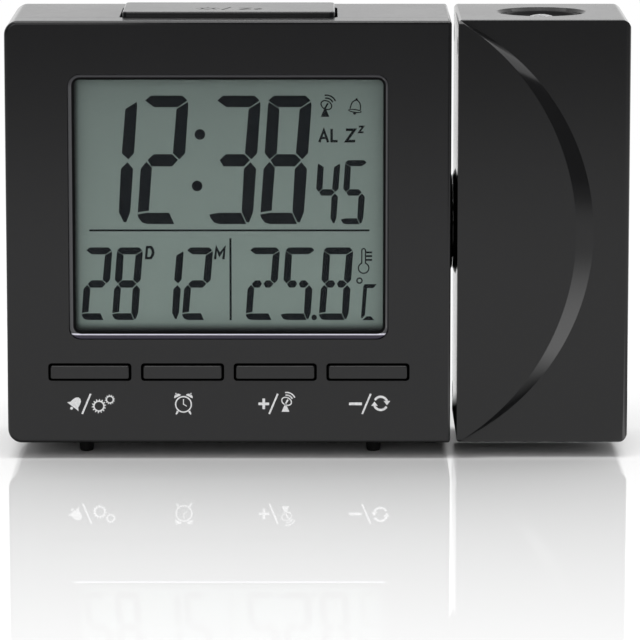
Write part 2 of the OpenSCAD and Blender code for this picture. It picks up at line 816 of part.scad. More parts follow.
module snooze_board() {
    color("#1f6b3a") difference() {
        translate([bar_x, bar_cy, snooze_board_z]) linear_extrude(board_t)
            square([snooze_board_w, snooze_board_d], center = true);
        for (s = [-1, 1]) translate([bar_x + s * snooze_ledge_x, bar_cy, snooze_board_z - over])
            cylinder(h = board_t + 2 * over, r = board_screw_r + screw_play);
    }
}

module snooze_switch() {
    color("#3a3a3c") translate([bar_x, bar_cy, snooze_board_z + board_t]) {
        linear_extrude(snooze_switch_h) square(switch_w, center = true);
        cylinder(h = snooze_switch_h + snooze_tip_h, r = switch_tip_r);
    }
}

// Points of a wire's section, where the wire is on a helix at turn t
function helix_ring(t, h, r, turns, wire, sides) = [
    for (k = [0:sides - 1]) let (a = 360 * t, b = 360 * k / sides, q = r + wire * cos(b))
        [q * cos(a), q * sin(a), wire + (h - 2 * wire) * t / turns + wire * sin(b)]
];

// Coil spring standing on the XY plane
module coil_spring(h, r, turns, wire) {
    sides = 6;
    per_turn = 14;
    n = turns * per_turn;
    points = [for (i = [0:n]) each helix_ring(i / per_turn, h, r, turns, wire, sides)];
    walls = [
        for (i = [0:n - 1], k = [0:sides - 1]) let (l = (k + 1) % sides)
            [i * sides + k, (i + 1) * sides + k, (i + 1) * sides + l, i * sides + l]
    ];
    ends = [[for (k = [0:sides - 1]) k], [for (k = [0:sides - 1]) n * sides + sides - 1 - k]];
    polyhedron(points = points, faces = concat(walls, ends), convexity = 4);
}

module snooze_springs() {
    color("#c4c4c8") for (s = [-1, 1])
        translate([bar_x + s * (snooze_ledge_x - bar_spring_step), bar_cy, snooze_board_z + board_t])
            coil_spring(bar_ceiling - snooze_board_z - board_t, bar_spring_r, 5, bar_spring_wire);
}

module dc_jack() {
    color("#1a1a1c") translate([jack_x, 0, jack_z]) {
        difference() {
            along_y(back_y - jack_len, back_y - seat_slip) square(jack_w, center = true);
            rod_y(back_y - jack_bore_d, back_y + over, jack_bore_r);
        }
        rod_y(back_y - jack_bore_d - eps, back_y - jack_pin_r, jack_pin_r);
    }
}

// Puts a child in the middle of a cell's place, turned so that its spring is on the child's left
module at_cell(i) {
    translate([(bay_x0 + bay_x1) / 2, cell_y, cell_zs[i]]) rotate([0, i * 180, 0]) children();
}

module battery_cells() {
    color("#b98a3c") for (i = [0, 1]) at_cell(i) translate([bay_len / 2 - contact_t - cell_len, 0, 0]) {
        rod_x(0, cell_len - cell_tip_h, cell_d / 2);
        rod_x(cell_len - cell_tip_h - eps, cell_len, cell_tip_r);
    }
}

module battery_springs() {
    color("#c4c4c8") for (i = [0, 1]) at_cell(i) translate([-bay_len / 2 + contact_t, 0, 0])
        rotate([0, 90, 0]) coil_spring(spring_room, contact_spring_r, 4, contact_wire);
}

module battery_plates() {
    half = contact_w / 2;
    color("#d2d2d0") for (x = [bay_x0 + seat_slip, bay_x1 - contact_t], z = cell_zs)
        box([x, cell_y - half, z - half], [x + contact_t - seat_slip, cell_y + half, z + half]);
}

// Cover of the bay, with a row of grip grooves
module battery_cover() {
    rim = cover_rim - cover_gap;
    color("#232325") difference() {
        box([bay_x0 - rim, case_y1 - cover_t + post_gap, bay_z0 - rim],
            [bay_x1 + rim, case_y1, bay_z1 + rim]);
        for (i = [0:grip_count - 1])
            translate([(bay_x0 + bay_x1) / 2, case_y1, bay_z1 - grip_drop - i * grip_pitch])
                rod_x(-grip_w / 2, grip_w / 2, grip_r);
    }
}

module rubber_feet() {
    color("#19191a") for (sx = [-1, 1], sy = [-1, 1]) translate([case_cx + sx * foot_x, sy * foot_y, 0]) {
        cylinder(h = foot_h, r1 = foot_tip_r, r2 = foot_top_r);
        cylinder(h = foot_h + 0.8 * case_wall, r = foot_pin_r);
    }
}

module case_screws() {
    color("#8e8e92") at_case_screws() difference() {
        union() {
            rod_y(post_y - screw_bite + over, post_y + screw_floor + eps, screw_shank_r);
            rod_y(post_y + screw_floor, post_y + screw_floor + screw_head_h, screw_head_r);
        }
        for (a = [0, 90]) translate([0, post_y + screw_floor + screw_head_h, 0]) rotate([0, a, 0])
            along_y(-cross_d, over) square([cross_w, cross_t], center = true);
    }
}

module board_screws() {
    color("#8e8e92") {
        at_board_screws() {
            rod_y(board_y0 - board_screw_bite, board_y1 + eps, board_screw_r);
            rod_y(board_y1, board_y1 + board_screw_head_h, board_screw_head_r);
        }
        for (s = [-1, 1]) translate([bar_x + s * snooze_ledge_x, bar_cy, snooze_board_z]) {
            translate([0, 0, -snooze_bite]) cylinder(h = snooze_bite + board_t + eps, r = board_screw_r);
            translate([0, 0, board_t]) cylinder(h = board_screw_head_h, r = board_screw_head_r);
        }
    }
}

module snooze_bar() {
    color("#2a2a2c") difference() {
        union() {
            translate([bar_x, bar_cy, bar_z0])
                linear_extrude(bar_z1 - bar_z0) round_rect(bar_w, bar_d, bar_r);
            translate([bar_x, bar_cy, bar_z0]) linear_extrude(bar_flange_t)
                square([bar_w + 2 * bar_flange_out, bar_d - 2 * bar_flange_in], center = true);
        }
        difference() {
            translate([bar_x, bar_cy, bar_z0 - over]) linear_extrude(bar_ceiling - bar_z0 + over)
                square([bar_w - 2 * bar_wall, bar_d - 2 * bar_wall], center = true);
            translate([bar_x, bar_cy, snooze_tip_z + bar_travel + stem_gap])
                cylinder(h = bar_z1 - snooze_tip_z, r = bar_stem_r);
        }
    }
}

// One front button: its cap, the flange that keeps it in, and the stem over its switch
module front_button(i) {
    color("#2c2c2e") at_button(i) {
        along_y(case_y0 - button_proud, flange_y + eps) round_rect(button_w, button_h, button_r);
        along_y(flange_y, flange_y + flange_t) square([flange_w, flange_h], center = true);
        rod_y(flange_y + flange_t - eps, switch_tip_y - button_travel - stem_gap, stem_r);
    }
}

module alarm_set_button() { front_button(0); }
module alarm_button() { front_button(1); }
module plus_button() { front_button(2); }
module minus_button() { front_button(3); }

// Space of the head between two planes across Y: its front outline, trimmed so that no edge meets the
// table as the head turns
module head_space(y0, y1) {
    intersection() {
        along_y(y0, y1) sided_rect(head_x0, head_x1, head_z0, head_z1, head_inner_r, head_corner_r);
        translate([0, 0, pivot_z]) rod_x(head_x0 - over, head_x1 + over, pivot_z - swing_gap);
    }
}

// Outside of the head without its raised field
module head_block() {
    intersection() {
        head_space(head_y0, head_y1);
        translate([optic_x, 0, head_z0 - over]) linear_extrude(head_h + 2 * over)
            round_rect(head_w, head_y1 - head_y0, head_edge_r);
    }
}

// Thin disc across Y that reaches from the left corners of the head to the given width at pivot height
module field_disc(y, r, reach) {
    along_y(y, y + eps) translate([head_x0 + reach - r, pivot_z]) circle(r = r, $fn = 180);
}

// The raised field, and the slope from its ridge down to the head's face
module head_field() {
    intersection() {
        hull() {
            field_disc(case_y0, ridge_r, field_w);
            field_disc(head_y0, slope_r, slope_reach);
        }
        head_space(case_y0 - over, head_y0 + over);
    }
}

// Puts a child at each of the head's four corner screws
module at_head_screws() {
    for (sy = [-1, 1], sz = [-1, 1])
        translate([0, sy * head_post_y, pivot_z + sz * head_post_z]) children();
}

// Puts a child at each screw of the optic tube
module at_optic_screws() {
    for (s = [-1, 1]) translate([0, s * ear_y, ear_z]) children();
}

// Puts a child at each of the retainer's three screws, from the swivel's axis
module at_retainer_screws() {
    for (a = [90:120:330]) rotate([a, 0, 0]) translate([0, retainer_screw_ring, 0]) children();
}

module head_shell() {
    color("#252526") difference() {
        union() {
            difference() {
                union() {
                    head_block();
                    head_field();
                }
                box([head_x0 - over, head_y0 + head_wall, head_z0 + head_wall],
                    [head_x1 - head_wall, head_y1 - head_wall, head_z1 - head_wall]);
            }
            at_head_screws() rod_x(head_x0 + head_wall + post_gap, head_x1 - head_wall + eps, head_post_r);
            at_optic_screws() rod_x(ear_x + ear_t + seat_slip, head_x1 - head_wall + eps, ear_reach);
        }
        at_head_screws() rod_x(head_x0, head_x0 + head_wall + head_screw_bite, head_screw_r);
        at_optic_screws() rod_x(ear_x, ear_x + ear_t + optic_screw_bite, board_screw_r);
        translate([optic_x, 0, head_z1 - head_wall - over]) cylinder(h = head_wall + 2 * over, r = well_r);
        translate([optic_x, 0, head_z1 - well_chamfer])
            cylinder(h = well_chamfer + eps, r1 = well_r, r2 = well_r + well_chamfer + eps);
    }
}

// Left wall of the head, with the hollow spigot that turns in the case
module head_side_cover() {
    color("#232325") difference() {
        union() {
            box([head_x0, head_y0 + head_wall + seat_gap, head_z0 + head_wall + seat_gap],
                [head_x0 + head_wall, head_y1 - head_wall - seat_gap, head_z1 - head_wall - seat_gap]);
            translate([0, 0, pivot_z]) {
                translate([head_x0 + eps, 0, 0]) rotate([0, -90, 0])
                    cylinder(h = boss_h, r1 = hub_face_r, r2 = hub_mid_r);
                rod_x(washer_x, head_x0 + eps, spigot_r);
            }
        }
        translate([0, 0, pivot_z]) {
            rod_x(washer_x - over, head_x0 + head_wall + over, spigot_bore_r);
            at_retainer_screws() rod_x(washer_x - over, washer_x + retainer_screw_bite, retainer_screw_r);
        }
        at_head_screws() {
            rod_x(head_x0 - over, head_x0 + head_wall + over, head_screw_r + head_screw_play);
            rod_x(head_x0 - over, head_x0 + head_screw_sink, head_screw_head_r + head_screw_play);
        }
    }
}

module hub_washer() {
    color("#b9b9bc") translate([0, 0, pivot_z]) difference() {
        rod_x(washer_x + seat_slip, washer_x + washer_t, washer_r);
        rod_x(washer_x - over, bearing_x + over, spigot_r + hub_fit);
    }
}

// Ring on the end of the spigot; its tab meets the stops at both ends of the head's turn
module hub_retainer() {
    color("#3a3a3c") translate([0, 0, pivot_z]) difference() {
        union() {
            rod_x(retainer_x, washer_x, retainer_r);
            box([retainer_x, -tab_w / 2, -tab_r], [washer_x, tab_w / 2, 0]);
        }
        rod_x(retainer_x - over, washer_x + over, spigot_bore_r);
        at_retainer_screws() rod_x(retainer_x - over, washer_x + over, retainer_screw_r + screw_play);
    }
}

module retainer_screws() {
    color("#8e8e92") translate([0, 0, pivot_z]) at_retainer_screws() {
        rod_x(retainer_x - eps, washer_x + retainer_screw_bite, retainer_screw_r);
        rod_x(retainer_x - retainer_screw_head_h, retainer_x, retainer_screw_head_r);
    }
}

module head_screws() {
    color("#8e8e92") at_head_screws() {
        rod_x(head_x0 + head_screw_sink - head_screw_head_h, head_x0 + head_screw_sink, head_screw_head_r);
        rod_x(head_x0 + head_screw_sink - eps, head_x0 + head_wall + head_screw_bite, head_screw_r);
    }
}

// Black tube that holds the optics, with ears to its screw posts and a slit for the small display
module optic_tube() {
    color("#1b1b1c") difference() {
        union() {
            translate([optic_x, 0, tube_z0]) cylinder(h = tube_z1 - tube_z0, r = tube_r);
            box([ear_x, -ear_y - ear_reach, ear_z - ear_h / 2],
                [ear_x + ear_t, ear_y + ear_reach, ear_z + ear_h / 2]);
        }
        translate([optic_x, 0, 0]) {
            translate([0, 0, tube_z0 - over])
                cylinder(h = slide_z - tube_z0 + over, r = condenser_r + post_gap);
            translate([0, 0, tube_z0]) cylinder(h = tube_z1 - tube_z0, r = light_r);
            translate([0, 0, shoulder_z]) cylinder(h = tube_z1 - shoulder_z + over, r = ring_r + optic_fit);
        }
        box([optic_x - slide_w / 2 - post_gap, -tube_r - over, slide_z - post_gap],
            [optic_x + slide_w / 2 + post_gap, slide_w / 2 + post_gap, slide_z + slide_t + post_gap]);
        at_optic_screws() rod_x(ear_x - over, ear_x + ear_t + over, board_screw_r + screw_play);
    }
}

module optic_screws() {
    color("#8e8e92") at_optic_screws() {
        rod_x(ear_x - optic_screw_head_h, ear_x, optic_screw_head_r);
        rod_x(ear_x - eps, ear_x + ear_t + optic_screw_bite, board_screw_r);
    }
}

module condenser_lens() {
    color("#d9e2e6", 0.5) translate([optic_x, 0, condenser_z]) intersection() {
        cylinder(h = condenser_h + over, r = condenser_r);
        translate([0, 0, condenser_h - condenser_curve]) sphere(r = condenser_curve);
    }
}

module slide_lcd() {
    color("#3d4644") translate([optic_x - slide_w / 2, -slide_w / 2, slide_z])
        cube([slide_w, slide_w, slide_t]);
}

module projector_board() {
    color("#1f6b3a") translate([optic_x, 0, projector_board_z]) linear_extrude(projector_board_t)
        square(projector_board_w, center = true);
}

module projector_led() {
    color("#e9d9a0") translate([optic_x, 0, tube_z0]) {
        cylinder(h = led_base_h, r = led_base_r);
        cylinder(h = led_dome_h, r = led_dome_r);
        translate([0, 0, led_dome_h]) intersection() {
            sphere(r = led_dome_r);
            cylinder(h = led_dome_r + over, r = led_dome_r + over);
        }
    }
}

module head_connector() {
    color("#efece2") box([head_connector_x0, -head_connector_w / 2, pivot_z - head_connector_drop],
        [head_connector_x0 + head_connector_w, head_connector_w / 2, projector_board_z]);
}

module head_wires() {
    color("#b8342c") translate([0, 0, pivot_z]) rod_x(wire_meet_x + post_gap, head_connector_x0, wire_r);
}

// Ring in the opening over the lens, with notches for a fingertip
module focus_ring() {
    color("#1d1d1e") translate([optic_x, 0, ring_z0]) difference() {
        cylinder(h = ring_h, r = ring_r);
        translate([0, 0, -over]) cylinder(h = ring_h + 2 * over, r = cell_r + optic_fit);
        translate([0, 0, ring_h - ring_chamfer])
            cylinder(h = ring_chamfer + eps, r1 = cell_r + optic_fit, r2 = cell_r + optic_fit + ring_chamfer);
        for (a = [0:notch_step:360 - notch_step]) rotate([0, 0, a])
            translate([ring_r, 0, ring_h - notch_len]) cylinder(h = notch_len + over, r = notch_r);
    }
}

module lens_cell() {
    color("#151516") translate([optic_x, 0, 0]) difference() {
        translate([0, 0, cell_z0]) cylinder(h = cell_h, r = cell_r);
        translate([0, 0, cell_z0 - over]) cylinder(h = cell_h + 2 * over, r = lens_r - lens_rest);
        translate([0, 0, lens_z1 - 2 * lens_cap - lens_edge]) cylinder(h = cell_h, r = lens_r + seat_slip);
    }
}

module projection_lens() {
    color("#cfd8dc", 0.5) translate([optic_x, 0, lens_z1 + lens_proud]) intersection() {
        translate([0, 0, -lens_curve]) sphere(r = lens_curve);
        translate([0, 0, lens_curve - 2 * lens_cap - lens_edge]) sphere(r = lens_curve);
        translate([0, 0, -cell_h]) cylinder(h = cell_h + over, r = lens_r);
    }
}

front_bezel();
rear_shell();
window_lens();
lcd_panel();
lcd_frame();
light_guide();
backlight_leds();
zebra_strip();
main_board();
clock_chips();
crystal();
key_switches();
wire_connector();
case_wires();
board_leads();
antenna_rod();
antenna_coil();
buzzer();
thermistor();
snooze_board();
snooze_switch();
snooze_springs();
dc_jack();
battery_cells();
battery_springs();
battery_plates();
battery_cover();
rubber_feet();
case_screws();
board_screws();
snooze_bar();
alarm_set_button();
alarm_button();
plus_button();
minus_button();
head_shell();
head_side_cover();
hub_washer();
hub_retainer();
retainer_screws();
head_screws();
optic_tube();
optic_screws();
condenser_lens();
slide_lcd();
projector_board();
projector_led();
head_connector();
head_wires();
focus_ring();
lens_cell();
projection_lens();
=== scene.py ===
"""Looks of a desktop projection alarm clock: case, display, keys, snooze bar, and the swivelling projector head.

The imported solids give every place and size. Sizes here are millimetres unless a name says otherwise,
and each mesh is turned into metres when its piece is made.
"""

import logging
import math
from dataclasses import dataclass, field
from enum import Enum
from functools import cache
from typing import Callable, Iterable, Sequence

import bmesh
import bpy
from mathutils import Matrix, Vector


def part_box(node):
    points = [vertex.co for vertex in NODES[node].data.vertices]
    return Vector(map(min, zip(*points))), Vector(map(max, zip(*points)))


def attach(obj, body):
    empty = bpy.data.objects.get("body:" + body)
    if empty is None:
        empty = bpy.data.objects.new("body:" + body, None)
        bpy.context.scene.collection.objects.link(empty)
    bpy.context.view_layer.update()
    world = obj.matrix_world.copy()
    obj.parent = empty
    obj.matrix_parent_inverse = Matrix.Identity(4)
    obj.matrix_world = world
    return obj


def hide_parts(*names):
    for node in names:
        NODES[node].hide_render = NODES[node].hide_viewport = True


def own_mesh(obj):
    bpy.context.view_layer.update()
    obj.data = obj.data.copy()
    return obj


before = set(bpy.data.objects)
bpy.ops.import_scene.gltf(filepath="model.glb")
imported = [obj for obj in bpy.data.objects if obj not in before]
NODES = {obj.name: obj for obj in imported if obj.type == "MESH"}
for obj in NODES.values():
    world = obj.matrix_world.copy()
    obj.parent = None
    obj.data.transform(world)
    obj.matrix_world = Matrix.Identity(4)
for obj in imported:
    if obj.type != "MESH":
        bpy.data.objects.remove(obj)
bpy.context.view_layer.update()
LOG = logging.getLogger("projection_clock")
MM = 0.001
NEAR = 0.01
FULL_TURN = 2 * math.pi
WHITE = (1.0, 1.0, 1.0)
BLACK = (0.0, 0.0, 0.0)

Triple = tuple[float, float, float]
Point = tuple[float, float]
Spans = tuple[Point, ...]
Test = Callable[[Vector], bool]
Tree = bpy.types.NodeTree
Shape = bmesh.types.BMesh
Socket = bpy.types.NodeSocket


class Side(Enum):
    """Outside faces that flat marks lie on."""

    FRONT = "front"
    TOP = "top"


class Part(Enum):
    """Bodies of the clock that pieces ride on."""

    CASE = "case"
    HEAD = "projector_head"
    RING = "focus_ring"
    LENS = "lens_carrier"
    BAR = "snooze_bar"
    COVER = "battery_cover"
    ALARM_SET_KEY = "alarm_set_button"
    ALARM_KEY = "alarm_button"
    PLUS_KEY = "plus_button"
    MINUS_KEY = "minus_button"


def box_mm(node: str) -> tuple[Vector, Vector]:
    """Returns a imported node's lowest and highest corners, in millimetres."""
    low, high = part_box(node)
    return low / MM, high / MM


def srgb(*levels: float) -> Triple:
    """Turns display values from 0 to 255 into the linear ones of a shader socket."""
    shares = (level / 255 for level in levels)
    return tuple(share / 12.92 if share <= 0.04045 else ((share + 0.055) / 1.055) ** 2.4 for share in shares)


# ---------------------------------------------------------------- node trees

class Graph:
    """Short way to place and join the nodes of one tree."""

    def __init__(self, tree: Tree) -> None:
        """Keeps the tree that nodes are added to."""
        self.tree = tree

    def feed(self, socket: Socket, value: object) -> None:
        """Joins an output to an input, or sets the input's value, where a colour gets its alpha.

        Args:
            socket: the input.
            value: an output, or a plain value.
        """
        if isinstance(value, Socket):
            self.tree.links.new(value, socket)
        else:
            socket.default_value = (*value, 1.0) if socket.type == "RGBA" else value

    def node(self, kind: str, inputs: dict | None = None, **settings: object) -> bpy.types.Node:
        """Adds a node.

        Args:
            kind: the node's type name.
            inputs: a value or an output socket for each input, by name or index.
            settings: the node's own properties.
        Returns:
            The new node.
        """
        node = self.tree.nodes.new(kind)
        for key, value in settings.items():
            setattr(node, key, value)
        for key, value in (inputs or {}).items():
            self.feed(node.inputs[key], value)
        return node

    def maths(self, operation: str, first: object, second: object = 0.5) -> Socket:
        """Adds a Math node and returns its output."""
        return self.node("ShaderNodeMath", {0: first, 1: second}, operation=operation).outputs[0]

    def plus(self, first: object, second: object) -> Socket:
        """Adds two values."""
        return self.maths("ADD", first, second)

    def minus(self, first: object, second: object) -> Socket:
        """Takes the second value from the first."""
        return self.maths("SUBTRACT", first, second)

    def times(self, first: object, *others: object) -> Socket:
        """Multiplies values, in the order given, and returns the product's output."""
        for other in others:
            first = self.maths("MULTIPLY", first, other)
        return first

    def parts(self, vector: Socket) -> Sequence[Socket]:
        """Splits a vector into its three parts."""
        return self.node("ShaderNodeSeparateXYZ", {0: vector}).outputs

    def blend(self, share: object, first: object, second: object) -> Socket:
        """Adds a colour mix and returns its output."""
        return self.node("ShaderNodeMix", {0: share, 6: first, 7: second}, data_type="RGBA").outputs[2]

    def ramp(self, value: object, low: float, high: float, out_low: float = 0.0, out_high: float = 1.0,
             kind: str = "SMOOTHSTEP") -> Socket:
        """Maps a value's range onto another, smoothly unless kind says otherwise."""
        return self.node("ShaderNodeMapRange", {0: value, 1: low, 2: high, 3: out_low, 4: out_high},
                         interpolation_type=kind).outputs[0]

    def zone(self, value: object, spans: Spans) -> Socket:
        """Marks where a value lies: the product of smooth ramps, each given by its ends."""
        return self.times(*(self.ramp(value, *span) for span in spans))

    def noise(self, place: object, scale: object, detail: float = 2.0, rough: float = 0.5) -> Socket:
        """Adds a noise and returns its value."""
        return self.node("ShaderNodeTexNoise", {"Vector": place, "Scale": scale, "Detail": detail,
                                                "Roughness": rough}).outputs[0]

    def vectors(self, operation: str, first: object, second: object) -> Sequence[Socket]:
        """Adds a Vector Math node and returns its outputs."""
        return self.node("ShaderNodeVectorMath", {0: first, 1: second}, operation=operation).outputs


class Group(Graph):
    """A node group with its inputs in given and its output node in end."""

    kinds = {float: "Float", int: "Int", tuple: "Vector"}

    def __init__(self, name: str, kind: str, inputs: dict[str, object], outputs: dict[str, str]) -> None:
        """Starts the group.

        Args:
            name: the group's name.
            kind: ShaderNodeTree or GeometryNodeTree.
            inputs: the default value of each input, or the kind of its socket.
            outputs: the kind of each output's socket.
        """
        super().__init__(bpy.data.node_groups.new(name, kind))
        for way, sockets in (("INPUT", inputs), ("OUTPUT", outputs)):
            for label, value in sockets.items():
                known = self.kinds.get(type(value))
                made = self.tree.interface.new_socket(label, in_out=way, socket_type="NodeSocket" + (known or value))
                if known:
                    made.default_value = value
        self.given = self.node("NodeGroupInput").outputs
        self.end = self.node("NodeGroupOutput")

    def give(self, **values: Socket) -> Tree:
        """Joins values to the outputs of these names and returns the tree."""
        for label, value in values.items():
            self.feed(self.end.inputs[label], value)
        return self.tree


@cache
def moulded_grain() -> Tree:
    """Builds the fine grain and handling marks of moulded plastic.

    Returns:
        A group that puts out a height for the grain and a roughness that varies over the surface.
    """
    group = Group("moulded grain", "ShaderNodeTree",
                  {"Vector": "Vector", "Grain": 5200.0, "Roughness": 0.35, "Variation": 0.1},
                  {"Height": "Float", "Roughness": "Float"})
    place, scale, roughness, variation = group.given[:4]
    fine = group.noise(place, scale, 3.0, 0.6)
    cells = group.node("ShaderNodeTexVoronoi", {"Vector": place, "Scale": scale}, feature="SMOOTH_F1").outputs[0]
    broad = group.minus(group.noise(place, 38.0, 3.0), 0.5)
    middle = group.minus(group.noise(place, 420.0, 4.0, 0.65), 0.5)
    marks = group.plus(group.times(broad, 1.3), middle)
    return group.give(Height=group.plus(group.times(fine, 0.6), group.times(cells, 0.4)),
                      Roughness=group.maths("MAXIMUM", group.plus(roughness, group.times(marks, variation)), 0.03))


@cache
def edge_wear() -> Tree:
    """Builds the faint polish and rub that edges take from handling.

    Returns:
        A group that puts out the worn colour.
    """
    group = Group("edge wear", "ShaderNodeTree",
                  {"Color": "Color", "Worn Color": "Color", "Amount": 0.3, "Radius": 0.00035, "Vector": "Vector"},
                  {"Color": "Color"})
    colour, worn, amount, radius, place = group.given[:5]
    bevel = group.node("ShaderNodeBevel", {"Radius": radius}, samples=4).outputs[0]
    true_normal = group.node("ShaderNodeNewGeometry").outputs["Normal"]
    edge = group.ramp(group.vectors("DOT_PRODUCT", bevel, true_normal)["Value"], 0.995, 0.86)
    patchy = group.ramp(group.noise(place, 260.0, 4.0, 0.7), 0.42, 0.66)
    return group.give(Color=group.blend(group.times(edge, patchy, amount), colour, worn))


@cache
def settled_dust() -> Tree:
    """Builds the thin dust that lies on faces that look up.

    Returns:
        A group that puts out the dusted colour.
    """
    group = Group("settled dust", "ShaderNodeTree",
                  {"Color": "Color", "Dust Color": "Color", "Amount": 0.05, "Vector": "Vector", "Normal": "Vector"},
                  {"Color": "Color"})
    colour, dust, amount, place, normal = group.given[:5]
    specks = group.ramp(group.noise(place, 1900.0, 5.0, 0.7), 0.5, 0.74)
    haze = group.noise(place, 70.0, 3.0)
    spread = group.plus(group.times(specks, 0.7), group.times(haze, 0.5))
    mask = group.times(group.ramp(group.parts(normal)[2], 0.45, 0.95), spread, amount)
    return group.give(Color=group.blend(mask, colour, dust))


@cache
def drawn_streaks() -> Tree:
    """Builds the fine streaks of drawn or turned metal.

    Returns:
        A group that puts out a height and a roughness.
    """
    group = Group("drawn streaks", "ShaderNodeTree",
                  {"Vector": "Vector", "Stretch": (60.0, 2400.0, 2400.0), "Roughness": 0.3},
                  {"Height": "Float", "Roughness": "Float"})
    place, stretch, roughness = group.given[:3]
    streaks = group.noise(group.vectors("MULTIPLY", place, stretch)[0], 1.0, 4.0, 0.6)
    return group.give(Height=streaks, Roughness=group.plus(roughness, group.times(group.minus(streaks, 0.5), 0.25)))


# ---------------------------------------------------------------- finishes

class Surface(Graph):
    """A material's tree with its shader, its Object coordinates and its output."""

    def __init__(self, name: str) -> None:
        """Starts an empty material."""
        self.material = bpy.data.materials.new(name)
        self.material.use_nodes = True
        super().__init__(self.material.node_tree)
        self.tree.nodes.clear()
        coordinates = self.node("ShaderNodeTexCoord").outputs
        self.place, self.normal = coordinates["Object"], coordinates["Normal"]
        self.shader = self.node("ShaderNodeBsdfPrincipled")
        self.end = self.node("ShaderNodeOutputMaterial", {"Surface": self.shader.outputs[0]})

    def effect(self, tree: Tree, inputs: dict[str, object]) -> Sequence[Socket]:
        """Places a shared effect with its own values and returns its outputs."""
        return self.node("ShaderNodeGroup", {"Vector": self.place, **inputs}, node_tree=tree).outputs

    def set(self, **values: object) -> None:
        """Sets or joins the shader's inputs; an underscore in a name stands for a space."""
        for key, value in values.items():
            self.feed(self.shader.inputs[key.replace("_", " ")], value)

    def bump(self, height: Socket, depth_mm: float) -> None:
        """Joins a height to the shader's normal, as deep as depth_mm."""
        node = self.node("ShaderNodeBump", {"Strength": 1.0, "Distance": depth_mm * MM, "Height": height})
        self.set(Normal=node.outputs[0])

    def grain(self, roughness: float, variation: float, depth_mm: float = 0.0, scale: float = 5200.0) -> Socket:
        """Gives the shader the moulded grain.

        Args:
            roughness, variation: the mean roughness, and how much it varies.
            depth_mm: the depth of the grain; 0 leaves the surface flat.
            scale: how fine the grain is.
        Returns:
            The roughness.
        """
        height, rough = self.effect(moulded_grain(), {"Grain": scale, "Roughness": roughness, "Variation": variation})
        self.set(Roughness=rough)
        if depth_mm:
            self.bump(height, depth_mm)
        return rough


MADE: dict[str, bpy.types.Material] = {}


@dataclass(frozen=True)
class Finish:
    """A look that becomes a material on first use."""

    name: str

    def material(self) -> bpy.types.Material:
        """Returns the finish's material."""
        if self.name not in MADE:
            top = Surface(self.name)
            self.dress(top)
            MADE[self.name] = top.material
        return MADE[self.name]

    def dress(self, top: Surface) -> None:
        """Sets the nodes of a new surface."""
        raise NotImplementedError


@dataclass(frozen=True)
class Plastic(Finish):
    """Moulded plastic with grain, handling marks, rubbed edges and a little dust."""

    colour: Triple
    roughness: float = 0.35
    specular: float = 0.4
    grain_mm: float = 0.0012
    variation: float = 0.05
    worn: float = 0.3
    dust: float = 0.05
    matt_top: float = 0.0

    def dress(self, top: Surface) -> None:
        """Sets the nodes; matt_top is the extra roughness of faces that look up."""
        lighter = tuple(min(1.0, value * 2.2 + 0.01) for value in self.colour)
        rough = top.grain(self.roughness, self.variation, self.grain_mm)
        wear = top.effect(edge_wear(), {"Color": self.colour, "Worn Color": lighter, "Amount": self.worn})
        dust = top.effect(settled_dust(), {"Color": wear["Color"], "Dust Color": (0.32, 0.31, 0.3),
                                           "Amount": self.dust, "Normal": top.normal})
        up = top.ramp(top.parts(top.normal)[2], 0.9, 0.99, 0.0, self.matt_top)
        top.set(Base_Color=dust["Color"], Roughness=top.plus(rough, up), Specular_IOR_Level=self.specular)


@dataclass(frozen=True)
class Metal(Finish):
    """Drawn or turned metal with streaks and a little tarnish."""

    colour: Triple
    tarnish: Triple
    roughness: float = 0.28
    stretch: Triple = (60.0, 2400.0, 2400.0)

    def dress(self, top: Surface) -> None:
        """Sets the nodes."""
        height, rough = top.effect(drawn_streaks(), {"Stretch": self.stretch, "Roughness": self.roughness})
        patches = top.ramp(top.noise(top.place, 480.0, 4.0, 0.65), 0.5, 0.75)
        top.set(Base_Color=top.blend(patches, self.colour, self.tarnish), Metallic=1.0, Roughness=rough)
        top.bump(height, 0.004)


@dataclass(frozen=True)
class Ink(Finish):
    """Printed ink with a slightly uneven coat."""

    colour: Triple
    thin: Triple
    specular: float = 0.3

    def dress(self, top: Surface) -> None:
        """Sets the nodes."""
        patches = top.ramp(top.noise(top.place, 2600.0, 3.0, 0.6), 0.35, 0.8)
        top.grain(0.5, 0.1, 0.002)
        top.set(Base_Color=top.blend(patches, self.colour, self.thin), Specular_IOR_Level=self.specular)


@dataclass(frozen=True)
class Glazing(Finish):
    """Clear pane: see-through, with a thin uneven film."""

    colour: Triple
    alpha: float

    def dress(self, top: Surface) -> None:
        """Sets the nodes."""
        top.grain(0.04, 0.04, scale=900.0)
        film = top.ramp(top.noise(top.place, 900.0, 5.0, 0.7), 0.35, 0.8, self.alpha * 0.85, self.alpha * 1.15)
        top.set(Base_Color=self.colour, Alpha=film)


@dataclass(frozen=True)
class PaintedHighlightEdge(Finish):
    """Bevel of the pane: dark grey, but a bright line of painted highlight lower down, and below that a dark violet
    band of painted reflection.
    """

    colour: Triple
    painted_highlight: Triple
    band: Triple
    reflection_band_top: float
    highlight_line_top: float

    def dress(self, top: Surface) -> None:
        """Sets the nodes."""
        height = top.parts(top.place)[2]
        above = top.ramp(height, self.highlight_line_top * MM, (self.highlight_line_top + 0.1) * MM)
        lit = top.ramp(height, (self.reflection_band_top - 0.06) * MM, (self.reflection_band_top + 0.06) * MM)
        top.grain(0.12, 0.05, scale=900.0)
        # The bright line and the violet band are painted light on the bevel's lower side: a painted highlight and a
        # painted reflection.
        top.set(Base_Color=top.blend(above, top.blend(lit, self.band, self.painted_highlight), self.colour))


